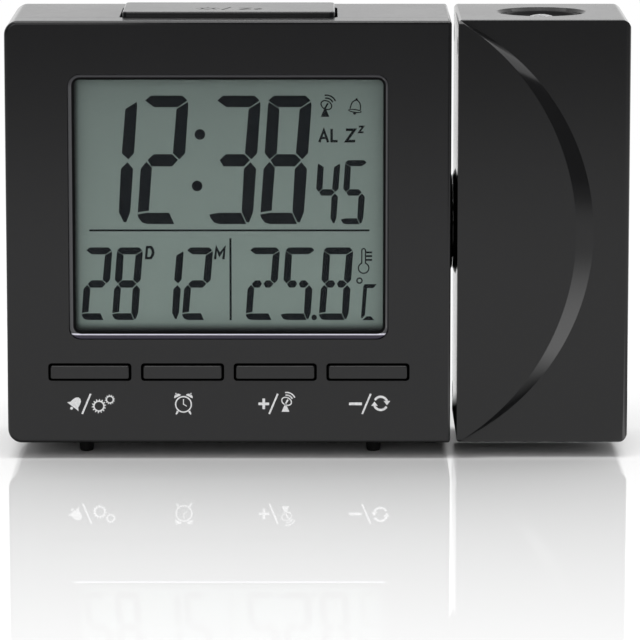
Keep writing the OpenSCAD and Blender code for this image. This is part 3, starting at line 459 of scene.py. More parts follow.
@dataclass(frozen=True)
class LensGlass(Finish):
    """Solid clear lens."""

    colour: Triple = (0.93, 0.96, 1.0)

    def dress(self, top: Surface) -> None:
        """Sets the nodes."""
        top.grain(0.035, 0.03, scale=700.0)
        top.set(Base_Color=self.colour, Transmission_Weight=1.0, IOR=1.5, Coat_Weight=0.6, Coat_Roughness=0.02)


@dataclass(frozen=True)
class DisplayGlass(Finish):
    """Reflective display: grey-green, a little darker at its top, and darkened towards its edges by painted shade where
    the bezel's shadow falls.
    """

    bottom: Triple
    top: Triple
    shade: Triple
    low: Vector
    high: Vector

    def dress(self, top: Surface) -> None:
        """Sets the nodes."""
        parts = top.parts(top.place)
        rise = top.ramp(parts[2], self.low.z * MM, self.high.z * MM)
        # Painted shade: near the edges the colour fades to the shade colour, standing in for the bezel's shadow on the
        # display.
        edges = [top.ramp(parts[axis], at * MM, (at + step) * MM)
                 for axis, at, step in ((0, self.low.x + 1.9, 1.5), (0, self.high.x - 1.4, -0.9),
                                        (2, self.low.z + 2.2, 2.2), (2, self.high.z - 1.2, -0.6))]
        inside = top.times(top.times(*edges[:2]), top.times(*edges[2:]))
        colour_with_painted_shade = top.blend(inside, self.shade, top.blend(rise, self.bottom, self.top))
        sparkle = top.ramp(top.noise(top.place, 5200.0, 2.0, 0.7), 0.3, 0.7, 0.93, 1.07)
        top.grain(0.5, 0.06, 0.001)
        top.set(Base_Color=top.vectors("MULTIPLY", colour_with_painted_shade, sparkle)[0], Specular_IOR_Level=0.2)


@dataclass(frozen=True)
class CircuitBoard(Finish):
    """Solder mask with raised tracks under it and tinned pads."""

    mask: Triple
    track: Triple

    def dress(self, top: Surface) -> None:
        """Sets the nodes."""
        bricks = top.node("ShaderNodeTexBrick", {
            "Vector": top.place, "Color1": BLACK, "Color2": BLACK, "Mortar": WHITE, "Scale": 340.0,
            "Mortar Size": 0.07, "Brick Width": 0.9, "Row Height": 0.32}, offset=0.37).outputs
        dots = top.node("ShaderNodeTexVoronoi", {"Vector": top.place, "Scale": 230.0}).outputs[0]
        pads = top.ramp(dots, 0.16, 0.12)
        tracks = top.blend(bricks["Color"], self.mask, self.track)
        top.set(Base_Color=top.blend(pads, tracks, (0.62, 0.62, 0.6)), Metallic=top.times(pads, 0.9),
                Roughness=top.ramp(pads, 0.0, 1.0, 0.34, 0.25), Specular_IOR_Level=0.5)
        top.bump(bricks["Fac"], 0.02)


@dataclass(frozen=True)
class CellSleeve(Finish):
    """Shrink sleeve of a cell with bare metal at both ends."""

    sleeve: Triple
    band: Triple
    centre_x: float
    sleeve_half: float
    band_from: float

    def dress(self, top: Surface) -> None:
        """Sets the nodes."""
        along = top.minus(top.parts(top.place)[0], self.centre_x * MM)
        bare = top.maths("GREATER_THAN", top.maths("ABSOLUTE", along), self.sleeve_half * MM)
        band = top.ramp(along, self.band_from * MM, (self.band_from + 0.15) * MM)
        top.grain(0.3, 0.12, 0.004)
        top.set(Base_Color=top.blend(bare, top.blend(band, self.sleeve, self.band), (0.72, 0.72, 0.73)),
                Metallic=bare, Specular_IOR_Level=0.5)


CASE_BLACK = Plastic("case_black", (0.0064, 0.0064, 0.007), roughness=0.13, specular=0.42, matt_top=0.1)
HEAD_BLACK = Plastic("head_black", (0.006, 0.006, 0.0064), roughness=0.12, specular=0.42, matt_top=0.1)
KEY_BLACK = Plastic("key_black", (0.0075, 0.0075, 0.008), roughness=0.15, specular=0.46, grain_mm=0.001, dust=0.03)
BAR_BLACK = Plastic("bar_black", (0.0075, 0.0075, 0.008), roughness=0.13, specular=0.45, grain_mm=0.001, matt_top=0.1)
COVER_BLACK = Plastic("cover_black", (0.0068, 0.0068, 0.0074), roughness=0.16, specular=0.43)
# Near-black matt plastic: the optic tube's own colour, and painted shade on the walls of gaps and at the pane's inner
# edge.
BLACK_AND_PAINTED_SHADE = Plastic("well_black", (0.004, 0.004, 0.0042), roughness=0.6, specular=0.04, grain_mm=0.003, dust=0.0)
OPTIC_BLACK = Plastic("optic_black", (0.005, 0.005, 0.0054), roughness=0.5, specular=0.06, grain_mm=0.002, dust=0.0)
FOOT_RUBBER = Plastic("foot_rubber", (0.012, 0.012, 0.012), roughness=0.75, specular=0.2, grain_mm=0.012,
                      variation=0.1, worn=0.15, dust=0.1)
CHIP_BLACK = Plastic("chip_black", (0.014, 0.014, 0.015), roughness=0.55, specular=0.3, grain_mm=0.006, worn=0.1)
WHITE_PLASTIC = Plastic("white_plastic", (0.78, 0.78, 0.75), roughness=0.45, worn=0.0, dust=0.02)
GUIDE_CLEAR = Plastic("guide_clear", (0.82, 0.84, 0.85), roughness=0.18, specular=0.5, worn=0.0, dust=0.0)
LAMP_CLEAR = Plastic("lamp_clear", (0.85, 0.66, 0.32), roughness=0.14, specular=0.5, worn=0.0, dust=0.0)
STRIP_RUBBER = Plastic("strip_rubber", (0.52, 0.15, 0.22), roughness=0.7, specular=0.2, worn=0.0)
WIRE_RED = Plastic("wire_red", (0.45, 0.035, 0.025), roughness=0.42, specular=0.4, worn=0.0)
FERRITE = Plastic("ferrite", (0.04, 0.04, 0.045), roughness=0.6, specular=0.35, grain_mm=0.02, worn=0.4)
SLIDE_GLASS = Plastic("slide_glass", (0.06, 0.075, 0.07), roughness=0.12, specular=0.5, worn=0.0, dust=0.0)
STEEL = Metal("plated_steel", (0.62, 0.62, 0.64), (0.42, 0.41, 0.4))
SCREW_STEEL = Metal("screw_steel", (0.4, 0.4, 0.42), (0.2, 0.19, 0.18), 0.34, (1500.0, 300.0, 1500.0))
CONTACT_STEEL = Metal("contact_steel", (0.72, 0.72, 0.71), (0.5, 0.49, 0.46), 0.24)
COPPER = Metal("copper_wire", (0.62, 0.26, 0.11), (0.4, 0.14, 0.06), 0.32)
BOARD_GREEN = CircuitBoard("board_green", (0.01, 0.12, 0.035), (0.02, 0.2, 0.06))
PANE_CLEAR = Glazing("pane_clear", (0.05, 0.055, 0.06), alpha=0.05)
LENS_GLASS = LensGlass("lens_glass")
MARK_WHITE = Ink("mark_white", srgb(226, 226, 226), srgb(196, 196, 198))
MARK_FAINT = Ink("mark_faint", srgb(210, 210, 210), srgb(180, 180, 182))
SEGMENT_INK = Ink("segment_ink", srgb(13, 17, 20), srgb(18, 22, 25), specular=0.06)

INSIDE_FINISHES = (
    (WHITE_PLASTIC, "lcd_frame wire_connector head_connector"), (GUIDE_CLEAR, "light_guide"),
    (BOARD_GREEN, "main_board snooze_board projector_board"),
    (CHIP_BLACK, "clock_chips key_switches snooze_switch buzzer thermistor"),
    (STEEL, "crystal board_screws retainer_screws optic_screws hub_washer"), (SCREW_STEEL, "head_screws"),
    (OPTIC_BLACK, "hub_retainer"), (LAMP_CLEAR, "backlight_leds projector_led"), (STRIP_RUBBER, "zebra_strip"),
    (WIRE_RED, "case_wires board_leads head_wires"), (SLIDE_GLASS, "slide_lcd"))


def dress_node(node: str, finish: Finish) -> None:
    """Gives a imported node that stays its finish."""
    materials = NODES[node].data.materials
    for index in range(len(materials)):
        materials[index] = finish.material()
    if not len(materials):
        materials.append(finish.material())
    LOG.info("%s: dressed as %s", node, finish.name)


# ---------------------------------------------------------------- meshes

@dataclass(frozen=True)
class Rounding:
    """Fillet on the outward edges whose two ends both pass a test of their place."""

    where: Test
    width: float
    segments: int = 3
    least_angle: float = 40.0


def on_plane(axis: str, level: float) -> Test:
    """Returns a test of whether a point lies on the plane at a level of one axis."""
    return lambda co: abs(getattr(co, axis) - level) < NEAR


def copy_of(node: str) -> Shape:
    """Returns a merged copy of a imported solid, in millimetres."""
    bm = bmesh.new()
    bm.from_mesh(NODES[node].data)
    bmesh.ops.scale(bm, vec=(1 / MM,) * 3, verts=bm.verts)
    bmesh.ops.remove_doubles(bm, verts=bm.verts, dist=0.002)
    bmesh.ops.dissolve_limit(bm, angle_limit=math.radians(0.3), verts=bm.verts, edges=bm.edges)
    return bm


def round_edges(bm: Shape, rounding: Rounding) -> int:
    """Gives the edges that pass the test a fillet.

    Args:
        bm: the mesh, changed in place.
        rounding: which edges, and how wide.
    Returns:
        How many edges were rounded.
    """
    least = math.radians(rounding.least_angle)
    edges = [edge for edge in bm.edges
             if len(edge.link_faces) == 2 and edge.calc_face_angle_signed(0) >= least
             and all(rounding.where(vert.co) for vert in edge.verts)]
    if edges:
        bmesh.ops.bevel(bm, geom=edges, offset=rounding.width, offset_type="OFFSET", segments=rounding.segments,
                        profile=0.5, affect="EDGES", clamp_overlap=True)
    return len(edges)


def object_of(name: str, bm: Shape | None = None, scale: float = MM) -> bpy.types.Object:
    """Puts a mesh, which is used up, into the scene.

    Args:
        name: the object's name.
        bm: its mesh; None leaves it empty.
        scale: what turns the mesh's unit into metres.
    Returns:
        The object.
    """
    mesh = bpy.data.meshes.new(name)
    if bm is not None:
        bm.to_mesh(mesh)
        bm.free()
        mesh.transform(Matrix.Scale(scale, 4))
    made = bpy.data.objects.new(name, mesh)
    bpy.context.scene.collection.objects.link(made)
    return made


def flatten(piece: bpy.types.Object) -> None:
    """Turns an object's modifiers into plain mesh and removes them."""
    bpy.context.view_layer.update()
    evaluated = piece.evaluated_get(bpy.context.evaluated_depsgraph_get())
    mesh = bpy.data.meshes.new_from_object(evaluated)
    piece.modifiers.clear()
    piece.data = mesh
    mesh.name = piece.name


def make_piece(name: str, bm: Shape, part: Part, finishes: Sequence[Finish],
               replaces: Sequence[str] = (), crease: float = 32.0) -> bpy.types.Object:
    """Turns a mesh in millimetres into a dressed piece that rides on a body.

    Args:
        name: the piece's name.
        bm: its mesh, which is used up.
        part: the body that it rides on.
        finishes: its finishes, in the order of its faces' material indices.
        replaces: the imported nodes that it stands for.
        crease: edges sharper than this many degrees stay sharp.
    Returns:
        The piece's object.
    """
    limit = math.radians(crease)
    for face in bm.faces:
        face.smooth = True
    for edge in bm.edges:
        edge.smooth = len(edge.link_faces) == 2 and edge.calc_face_angle(0) < limit
    piece = object_of(name, bm)
    piece.modifiers.new("weighted", "WEIGHTED_NORMAL").keep_sharp = True
    flatten(piece)
    mesh = piece.data
    numbers = [polygon.material_index for polygon in mesh.polygons]
    mesh.materials.clear()
    for finish in finishes:
        mesh.materials.append(finish.material())
    mesh.polygons.foreach_set("material_index", numbers)
    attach(piece, part.value)
    if replaces:
        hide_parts(*replaces)
    LOG.info("%s: %d faces on %s", name, len(numbers), part.value)
    return piece


def smooth_copy(node: str, part: Part, finish: Finish, roundings: Iterable[Rounding] = (),
                painted_shade_walls: Callable[[Vector, Vector], bool] | None = None, crease: float = 32.0) -> bpy.types.Object:
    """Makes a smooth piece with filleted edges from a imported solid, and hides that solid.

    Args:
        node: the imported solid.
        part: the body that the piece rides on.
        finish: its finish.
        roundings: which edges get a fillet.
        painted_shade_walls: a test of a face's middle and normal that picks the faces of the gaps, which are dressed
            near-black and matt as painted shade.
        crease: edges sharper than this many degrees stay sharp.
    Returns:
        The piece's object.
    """
    bm = copy_of(node)
    for rounding in roundings:
        LOG.info("%s: %d edges rounded", node, round_edges(bm, rounding))
    finishes = [finish]
    # Gap walls get the near-black matt finish: painted shade in the gaps.
    if painted_shade_walls:
        finishes.append(BLACK_AND_PAINTED_SHADE)
        bm.normal_update()
        for face in bm.faces:
            face.material_index = int(painted_shade_walls(face.calc_center_median(), face.normal))
    return make_piece(node + "_body", bm, part, finishes, [node], crease)


def rounded_outline(x0: float, x1: float, y0: float, y1: float, radius: float, inset: float) -> list[Point]:
    """Returns a rounded rectangle, anticlockwise, with the same number of points for every inset."""
    steps = 8
    reach = max(radius - inset, 0.02)
    x0, x1, y0, y1 = x0 + inset + reach, x1 - inset - reach, y0 + inset + reach, y1 - inset - reach
    return [(cx + reach * math.cos(math.pi / 2 * (quarter + step / steps)),
             cy + reach * math.sin(math.pi / 2 * (quarter + step / steps)))
            for cx, cy, quarter in ((x0, y0, 2), (x1, y0, 3), (x1, y1, 0), (x0, y1, 1)) for step in range(steps + 1)]


def loft(rings: Sequence[Sequence[Vector]], indices: Sequence[int] = ()) -> Shape:
    """Joins rings of equal length into a closed mesh with capped ends.

    Args:
        rings: the rings, from one end to the other.
        indices: the material index for the faces after each ring; 0 where it is left out.
    Returns:
        The mesh, with its faces outwards.
    """
    bm = bmesh.new()
    verts = [[bm.verts.new(point) for point in ring] for ring in rings]
    count = len(rings[0])
    for level, (low, high) in enumerate(zip(verts, verts[1:])):
        for i in range(count):
            face = bm.faces.new((low[i], low[(i + 1) % count], high[(i + 1) % count], high[i]))
            face.material_index = indices[level] if indices else 0
    bm.faces.new(verts[0])
    bm.faces.new(verts[-1])
    bmesh.ops.recalc_face_normals(bm, faces=bm.faces)
    return bm


def revolve(profile: Sequence[Point], order: tuple[int, int, int], steps: int) -> Shape:
    """Turns a profile into a closed mesh.

    Args:
        profile: the radius and height of each ring.
        order: which of a ring's two directions (0, 1) and its height (2) gives X, Y and Z.
        steps: the number of sides.
    Returns:
        The mesh.
    """
    rings = []
    for radius, height in profile:
        spots = [(*spot, height) for spot in ellipse(0, 0, radius, radius, steps)]
        rings.append([Vector([spot[i] for i in order]) for spot in spots])
    return loft(rings)


def cut(base: Shape, tool: Shape) -> Shape:
    """Takes one closed mesh from another and returns the result."""
    holders = [object_of("base", base, 1.0), object_of("tool", tool, 1.0)]
    modifier = holders[0].modifiers.new("cut", "BOOLEAN")
    modifier.operation, modifier.object, modifier.solver = "DIFFERENCE", holders[1], "EXACT"
    flatten(holders[0])
    result = bmesh.new()
    result.from_mesh(holders[0].data)
    for holder in holders:
        bpy.data.objects.remove(holder)
    return result


# ---------------------------------------------------------------- flat marks

def ribbon(points: Sequence[Point], width: float) -> list[Point]:
    """Returns the outline of a stroke of constant width along an open line."""
    left, right = [], []
    for i, (x, y) in enumerate(points):
        before = points[max(i - 1, 0)]
        after = points[min(i + 1, len(points) - 1)]
        ways = []
        for (x0, y0), (x1, y1) in ((before, (x, y)), ((x, y), after)):
            length = math.hypot(x1 - x0, y1 - y0)
            if length > 1e-9:
                ways.append((-(y1 - y0) / length, (x1 - x0) / length))
        nx, ny = sum(way[0] for way in ways), sum(way[1] for way in ways)
        size = math.hypot(nx, ny)
        nx, ny = nx / size, ny / size
        reach = width / 2 / max(nx * ways[0][0] + ny * ways[0][1], 0.4)
        left.append((x + nx * reach, y + ny * reach))
        right.append((x - nx * reach, y - ny * reach))
    return left + right[::-1]


def arc(cx: float, cy: float, radius: float, start: float, end: float, steps: int = 16) -> list[Point]:
    """Returns points along an arc, with its angles in degrees."""
    angles = [math.radians(start + (end - start) * i / steps) for i in range(steps + 1)]
    return [(cx + radius * math.cos(angle), cy + radius * math.sin(angle)) for angle in angles]


def ellipse(cx: float, cy: float, across: float, up: float, steps: int) -> list[Point]:
    """Returns points all round an ellipse of two half axes."""
    angles = [FULL_TURN * i / steps for i in range(steps)]
    return [(cx + across * math.cos(angle), cy + up * math.sin(angle)) for angle in angles]


def slanted(u: float, v: float, points: Sequence[Point], size: float = 1.0, slant: float = 0.0) -> list[Point]:
    """Slants and scales a small sign's points, then moves them."""
    return [(u + (x + slant * y) * size, v + y * size) for x, y in points]


def turned(u: float, v: float, points: Sequence[Point], degrees: float, size: float = 1.0) -> list[Point]:
    """Turns and scales a small sign's points about its own middle, then moves them."""
    c, s = size * math.cos(math.radians(degrees)), size * math.sin(math.radians(degrees))
    return [(u + x * c - y * s, v + x * s + y * c) for x, y in points]


@dataclass
class Stencil:
    """Thin flat marks that lie on one plane of the clock."""

    side: Side
    level: float
    origin: Point = (0.0, 0.0)
    thickness: float = 0.03
    bm: Shape = field(default_factory=bmesh.new)

    def row(self, outline: Sequence[Point], depth: float) -> list[bmesh.types.BMVert]:
        """Adds an outline's corners, depth below the marks' outer face."""
        spots = [(u + self.origin[0], v + self.origin[1]) for u, v in outline]
        if self.side is Side.FRONT:
            return [self.bm.verts.new((u, self.level + depth, v)) for u, v in spots]
        return [self.bm.verts.new((u, v, self.level - depth)) for u, v in spots]

    def fill(self, outline: Sequence[Point]) -> None:
        """Adds a filled outline."""
        front, back = self.row(outline, 0), self.row(outline, self.thickness)
        self.bm.faces.new(front)
        self.bm.faces.new(back[::-1])
        for i in range(len(outline)):
            j = (i + 1) % len(outline)
            self.bm.faces.new((front[j], front[i], back[i], back[j]))

    def frame(self, outer: Sequence[Point], inner: Sequence[Point]) -> None:
        """Adds the band between two outlines that have the same number of points."""
        rows = [self.row(line, depth) for line, depth in ((outer, 0), (inner, 0), (inner, self.thickness),
                                                          (outer, self.thickness))]
        for one, two in zip(rows, rows[1:] + rows[:1]):
            for i in range(len(outer)):
                j = (i + 1) % len(outer)
                self.bm.faces.new((one[i], one[j], two[j], two[i]))

    def line(self, points: Sequence[Point], width: float) -> None:
        """Adds a stroke along an open line."""
        self.fill(ribbon(points, width))

    def disc(self, u: float, v: float, radius: float) -> None:
        """Adds a filled circle."""
        self.fill(ellipse(u, v, radius, radius, 24))

    def ring(self, u: float, v: float, outer: float, inner: float) -> None:
        """Adds a circle's outline."""
        self.frame(ellipse(u, v, outer, outer, 40), ellipse(u, v, inner, inner, 40))

    def bar(self, u0: float, v0: float, u1: float, v1: float) -> None:
        """Adds a rectangle between two corners."""
        self.fill([(u0, v0), (u1, v0), (u1, v1), (u0, v1)])

    def piece(self, name: str, part: Part, finish: Finish, slot: str) -> None:
        """Turns the marks into a piece."""
        bmesh.ops.recalc_face_normals(self.bm, faces=self.bm.faces)
        make_piece(name, self.bm, part, [finish])


# Corners of a digit's strokes: share of the width, of the stroke, of the height and of the stroke again
STROKES: dict[str, Sequence[tuple[float, float, float, float]]] = {
    "a": ((0, 0, 1, -.44), (0, .45, 1, 0), (1, -.55, 1, 0), (1, -.1, 1, -.44), (1, -.85, 1, -1.04),
          (0, .78, 1, -1.04)),
    "b": ((1, -.06, 1, -.57), (1, 0, 1, -.9), (1, 0, .5, .62), (1, -.44, .5, .06), (1, -1, .5, .6),
          (1, -.95, 1, -1.21)),
    "c": ((1, -.5, .5, -.2), (1, 0, .5, -.8), (1, 0, 0, 1.1), (1, -.28, 0, .14), (1, -.5, 0, .2),
          (1, -.94, 0, 1.1), (1, -1, .5, -.8)),
    "d": ((0, -.02, 0, .86), (0, .1, 0, .55), (0, .4, 0, .15), (0, .85, 0, 0), (1, -.5, 0, 0), (1, -.98, 0, 1.02),
          (0, .7, 0, 1.02)),
    "e": ((0, .44, .5, -.16), (0, .92, .5, -.7), (0, .9, 0, 1.22), (0, 0, 0, 1.06), (0, 0, .5, -.8)),
    "f": ((0, .06, 1, -.57), (0, 0, 1, -.9), (0, 0, .5, .62), (0, .44, .5, .06), (0, 1, .5, .6),
          (0, .95, 1, -1.21)),
    "g": ((0, .52, .5, 0), (0, 1, .5, .52), (1, -1.05, .5, .52), (1, -.55, .5, 0), (1, -1, .5, -.58),
          (0, .86, .5, -.58)),
    "h": ((0, .52, .5, 0), (0, 1, .5, .52), (.5, -.42, .5, .52), (.5, -.1, .5, 0), (.5, -.42, .5, -.58),
          (0, .86, .5, -.58)),
    "i": ((.5, .1, .5, 0), (.5, .42, .5, .52), (1, -1.05, .5, .52), (1, -.55, .5, 0), (1, -1, .5, -.58),
          (.5, .42, .5, -.58)),
}
DIGITS = {"1": "bc", "2": "abged", "3": "abgcd", "4": "fgbc", "5": "afgcd", "8": "abcdefg"}
UPRIGHT = 1.1


@dataclass(frozen=True)
class Digits:
    """A row of seven-stroke digits: their size before they are slanted, their stroke and their lean.

    Where split is True, the middle stroke is two short ones.
    """

    width: float
    height: float
    stroke: float
    split: bool = False
    slant: float = 0.071

    def draw(self, marks: Stencil, signs: str, lefts: Sequence[float], foot: float) -> None:
        """Adds digits to a stencil.

        Args:
            marks: the stencil.
            signs: the digits.
            lefts: the left end of each.
            foot: the height of their feet.
        """
        for sign, left in zip(signs, lefts):
            for key in DIGITS[sign].replace("g", "hi") if self.split else DIGITS[sign]:
                corners = [(self.width * share_w + self.stroke * UPRIGHT * share_s,
                            self.height * share_h + self.stroke * share_t)
                           for share_w, share_s, share_h, share_t in STROKES[key]]
                marks.fill(slanted(left, foot, corners, slant=self.slant))


def draw_tower(marks: Stencil, u: float, v: float, size: float) -> None:
    """Adds the radio mast: a stand, a tilted dish and two waves.

    Args:
        marks: the stencil that it goes on.
        u, v: the middle of the mast's base.
        size: the height of the stand.
    """
    marks.fill([(u - 0.42 * size, v), (u + 0.42 * size, v), (u, v + size)])
    dish = ellipse(0, 0, 0.61, 0.47, 24)
    hollow = [(0.8 * x, 0.74 * y) for x, y in dish]
    at = (u + 0.12 * size, v + 1.15 * size)
    marks.frame(turned(*at, dish, -28, size), turned(*at, hollow, -28, size))
    marks.line([(u, v + 0.86 * size), (u + 0.28 * size, v + 1.33 * size)], 0.17 * size)
    for radius in (0.68, 0.97):
        marks.line(arc(*at, radius * size, 24, 100, 12), 0.14 * size)


def draw_bell(marks: Stencil, u: float, v: float, size: float, degrees: float, hollow: bool = False) -> None:
    """Adds a bell, filled or as an outline, with its clapper.

    Args:
        marks: the stencil that it goes on.
        u, v: the bell's middle.
        size: its height.
        degrees: its turn.
        hollow: True for an outline.
    """
    half = size / 2

    def moved(points: Sequence[Point]) -> list[Point]:
        """Returns points given in half heights of the bell at their place."""
        return turned(u, v, points, degrees, half)

    marks.disc(*moved([(0.0, -0.88)])[0], 0.18 * half)
    if not hollow:
        marks.fill(moved([(-.92, -.62), (-.62, -.3), (-.56, .15), (-.42, .55), (-.14, .78), (.14, .78), (.42, .55),
                          (.56, .15), (.62, -.3), (.92, -.62)]))
        return
    marks.line(moved([(-.64, -.4), (-.58, .1), (-.46, .44), (-.22, .68), (0.0, .74), (.22, .68), (.46, .44), (.58, .1),
                      (.64, -.4)]), 0.25)
    marks.disc(*moved([(0.0, 0.84)])[0], 0.15 * half)
    marks.frame(moved(ellipse(0, -.6, .84, .24, 20)), moved(ellipse(0, -.6, .7, .1, 20)))


# ---------------------------------------------------------------- geometry nodes

def close_tree(group: Group, shape: Socket) -> Tree:
    """Ends a geometry tree with real meshes, smooth faces and its material."""
    real = group.node("GeometryNodeRealizeInstances", {"Geometry": shape}).outputs[0]
    smooth = group.node("GeometryNodeSetShadeSmooth", {"Geometry": real}).outputs[0]
    dressed = group.node("GeometryNodeSetMaterial", {"Geometry": smooth, "Material": group.given["Material"]})
    return group.give(Geometry=dressed.outputs[0])


def growing(name: str, inputs: dict[str, object]) -> Group:
    """Starts a geometry tree that takes a mesh, these inputs and a material."""
    return Group(name, "GeometryNodeTree", {"Geometry": "Geometry", **inputs, "Material": "Material"},
                 {"Geometry": "Geometry"})


@cache
def coil_tree() -> Tree:
    """Builds the tree that winds a wire along the X axis.

    Returns:
        A tree with inputs for the coil's radius, wire, turns, length, start and material.
    """
    group = growing("wound wire", {"Radius": 0.003, "Wire Radius": 0.0003, "Turns": 4.0, "Length": 0.006,
                                   "Start": (0.0, 0.0, 0.0), "Sides": 8})
    given = group.given
    spiral = group.node("GeometryNodeCurveSpiral", {
        "Resolution": 24, "Rotations": given["Turns"], "Start Radius": given["Radius"],
        "End Radius": given["Radius"], "Height": given["Length"]}).outputs[0]
    wire = group.node("GeometryNodeCurvePrimitiveCircle", {
        "Resolution": given["Sides"], "Radius": given["Wire Radius"]}).outputs[0]
    tube = group.node("GeometryNodeCurveToMesh", {"Curve": spiral, "Profile Curve": wire, "Fill Caps": True}).outputs[0]
    laid = group.node("GeometryNodeTransform", {"Geometry": tube, "Translation": given["Start"],
                                                "Rotation": (0.0, math.pi / 2, 0.0)})
    return close_tree(group, laid.outputs[0])


@cache
def spoke_tree() -> Tree:
    """Builds the tree that sets copies of the object's own mesh round an upright axis, each turned outwards.

    Returns:
        A tree with inputs for the number, the circle's radius, its middle and the material.
    """
    group = growing("copies round an axis", {"Count": 48, "Radius": 0.008, "Middle": (0.0, 0.0, 0.0)})
    given = group.given
    circle = group.node("GeometryNodeMeshCircle", {"Vertices": given["Count"], "Radius": given["Radius"]}).outputs[0]
    place = group.node("GeometryNodeInputPosition").outputs[0]
    outward = group.node("FunctionNodeAlignRotationToVector", {"Vector": place}, axis="X").outputs[0]
    copies = group.node("GeometryNodeInstanceOnPoints", {"Points": circle, "Instance": given["Geometry"],
                                                         "Rotation": outward}).outputs[0]
    moved = group.node("GeometryNodeTransform", {"Geometry": copies, "Translation": given["Middle"]})
    return close_tree(group, moved.outputs[0])


@cache
def grid_tree() -> Tree:
    """Builds the tree that sets copies of the object's own mesh on an upright grid.

    Returns:
        A tree with inputs for the grid's size, its numbers, its middle and the material.
    """
    group = growing("copies on a grid", {"Width": 0.08, "Height": 0.08, "Across": 2, "Up": 2,
                                         "Middle": (0.0, 0.0, 0.0)})
    given = group.given
    grid = group.node("GeometryNodeMeshGrid", {
        "Size X": given["Width"], "Size Y": given["Height"], "Vertices X": given["Across"],
        "Vertices Y": given["Up"]}).outputs[0]
    upright = group.node("GeometryNodeTransform", {"Geometry": grid, "Translation": given["Middle"],
                                                   "Rotation": (math.pi / 2, 0.0, 0.0)}).outputs[0]
    copies = group.node("GeometryNodeInstanceOnPoints", {"Points": upright, "Instance": given["Geometry"]})
    return close_tree(group, copies.outputs[0])


def grow(tree: Tree, lengths: dict[str, object], numbers: dict[str, object], finish: Finish,
         seed: Shape | None = None) -> bpy.types.Mesh:
    """Grows a mesh with a geometry tree.

    Args:
        tree: the tree.
        lengths: the tree's inputs that are lengths or places, in millimetres.
        numbers: its other inputs.
        finish: the finish that the tree sets.
        seed: the shape that is repeated, in millimetres.
    Returns:
        The plain mesh, in metres.
    """
    carrier = object_of("grown", seed)
    modifier = carrier.modifiers.new("growth", "NODES")
    modifier.node_group = tree
    named = {item.name: item.identifier for item in tree.interface.items_tree
             if item.item_type == "SOCKET" and item.in_out == "INPUT"}
    metres = {label: [part * MM for part in value] if isinstance(value, tuple) else value * MM
              for label, value in lengths.items()}
    for label, value in {**metres, **numbers, "Material": finish.material()}.items():
        modifier[named[label]] = value
    flatten(carrier)
    grown = carrier.data
    bpy.data.objects.remove(carrier)
    return grown


def join_meshes(meshes: Sequence[bpy.types.Mesh]) -> Shape:
    """Joins grown meshes into one, in millimetres, with its faces outwards."""
    bm = bmesh.new()
    for mesh in meshes:
        bm.from_mesh(mesh)
        bpy.data.meshes.remove(mesh)
    for face in bm.faces:
        face.material_index = 0
    bmesh.ops.scale(bm, vec=(1 / MM,) * 3, verts=bm.verts)
    bmesh.ops.remove_doubles(bm, verts=bm.verts, dist=0.0005)
    bmesh.ops.recalc_face_normals(bm, faces=bm.faces)
    return bm


# ---------------------------------------------------------------- the clock

@dataclass
class CaseShells:
    """Front bezel and rear shell, with their edges filleted."""

    slot_fillet: float = 0.16
    seam_fillet: float = 0.12
    shadow_fillet: float = 0.55
    rim_fillet: float = 0.25
    skin: float = 1.2
    wall_tilt: float = 0.8
    face_margin: float = 0.03
    seam_margin: float = 0.2

    def build(self) -> None:
        """Builds and dresses both shells."""
        low, high = box_mm("front_bezel")
        face, top = low.y, high.z
        seam, back = (corner.y for corner in box_mm("rear_shell"))

        def inside(co: Vector) -> bool:
            """Tells whether a point lies within the case's outer skin."""
            return (low.x + self.skin < co.x < high.x - self.skin) and (low.z + self.skin < co.z < high.z - self.skin)

        def at_seam(co: Vector) -> bool:
            """Tells whether a point lies on the outer line of the seam."""
            return abs(co.y - seam) < NEAR and not inside(co)

        # The walls of the bezel's window recess and key slots get the near-black matt finish: painted shade.
        smooth_copy("front_bezel", Part.CASE, CASE_BLACK, [
            Rounding(on_plane("y", face), self.slot_fillet), Rounding(at_seam, self.seam_fillet, 2)],
            painted_shade_walls=lambda spot, way: abs(way.y) < self.wall_tilt and spot.y > face + self.face_margin and inside(spot))
        smooth_copy("rear_shell", Part.CASE, CASE_BLACK, [
            Rounding(on_plane("y", back), self.slot_fillet),
            Rounding(lambda co: abs(co.z - top) < NEAR and co.y > seam + self.seam_margin, self.rim_fillet),
            Rounding(at_seam, self.shadow_fillet, 4)])


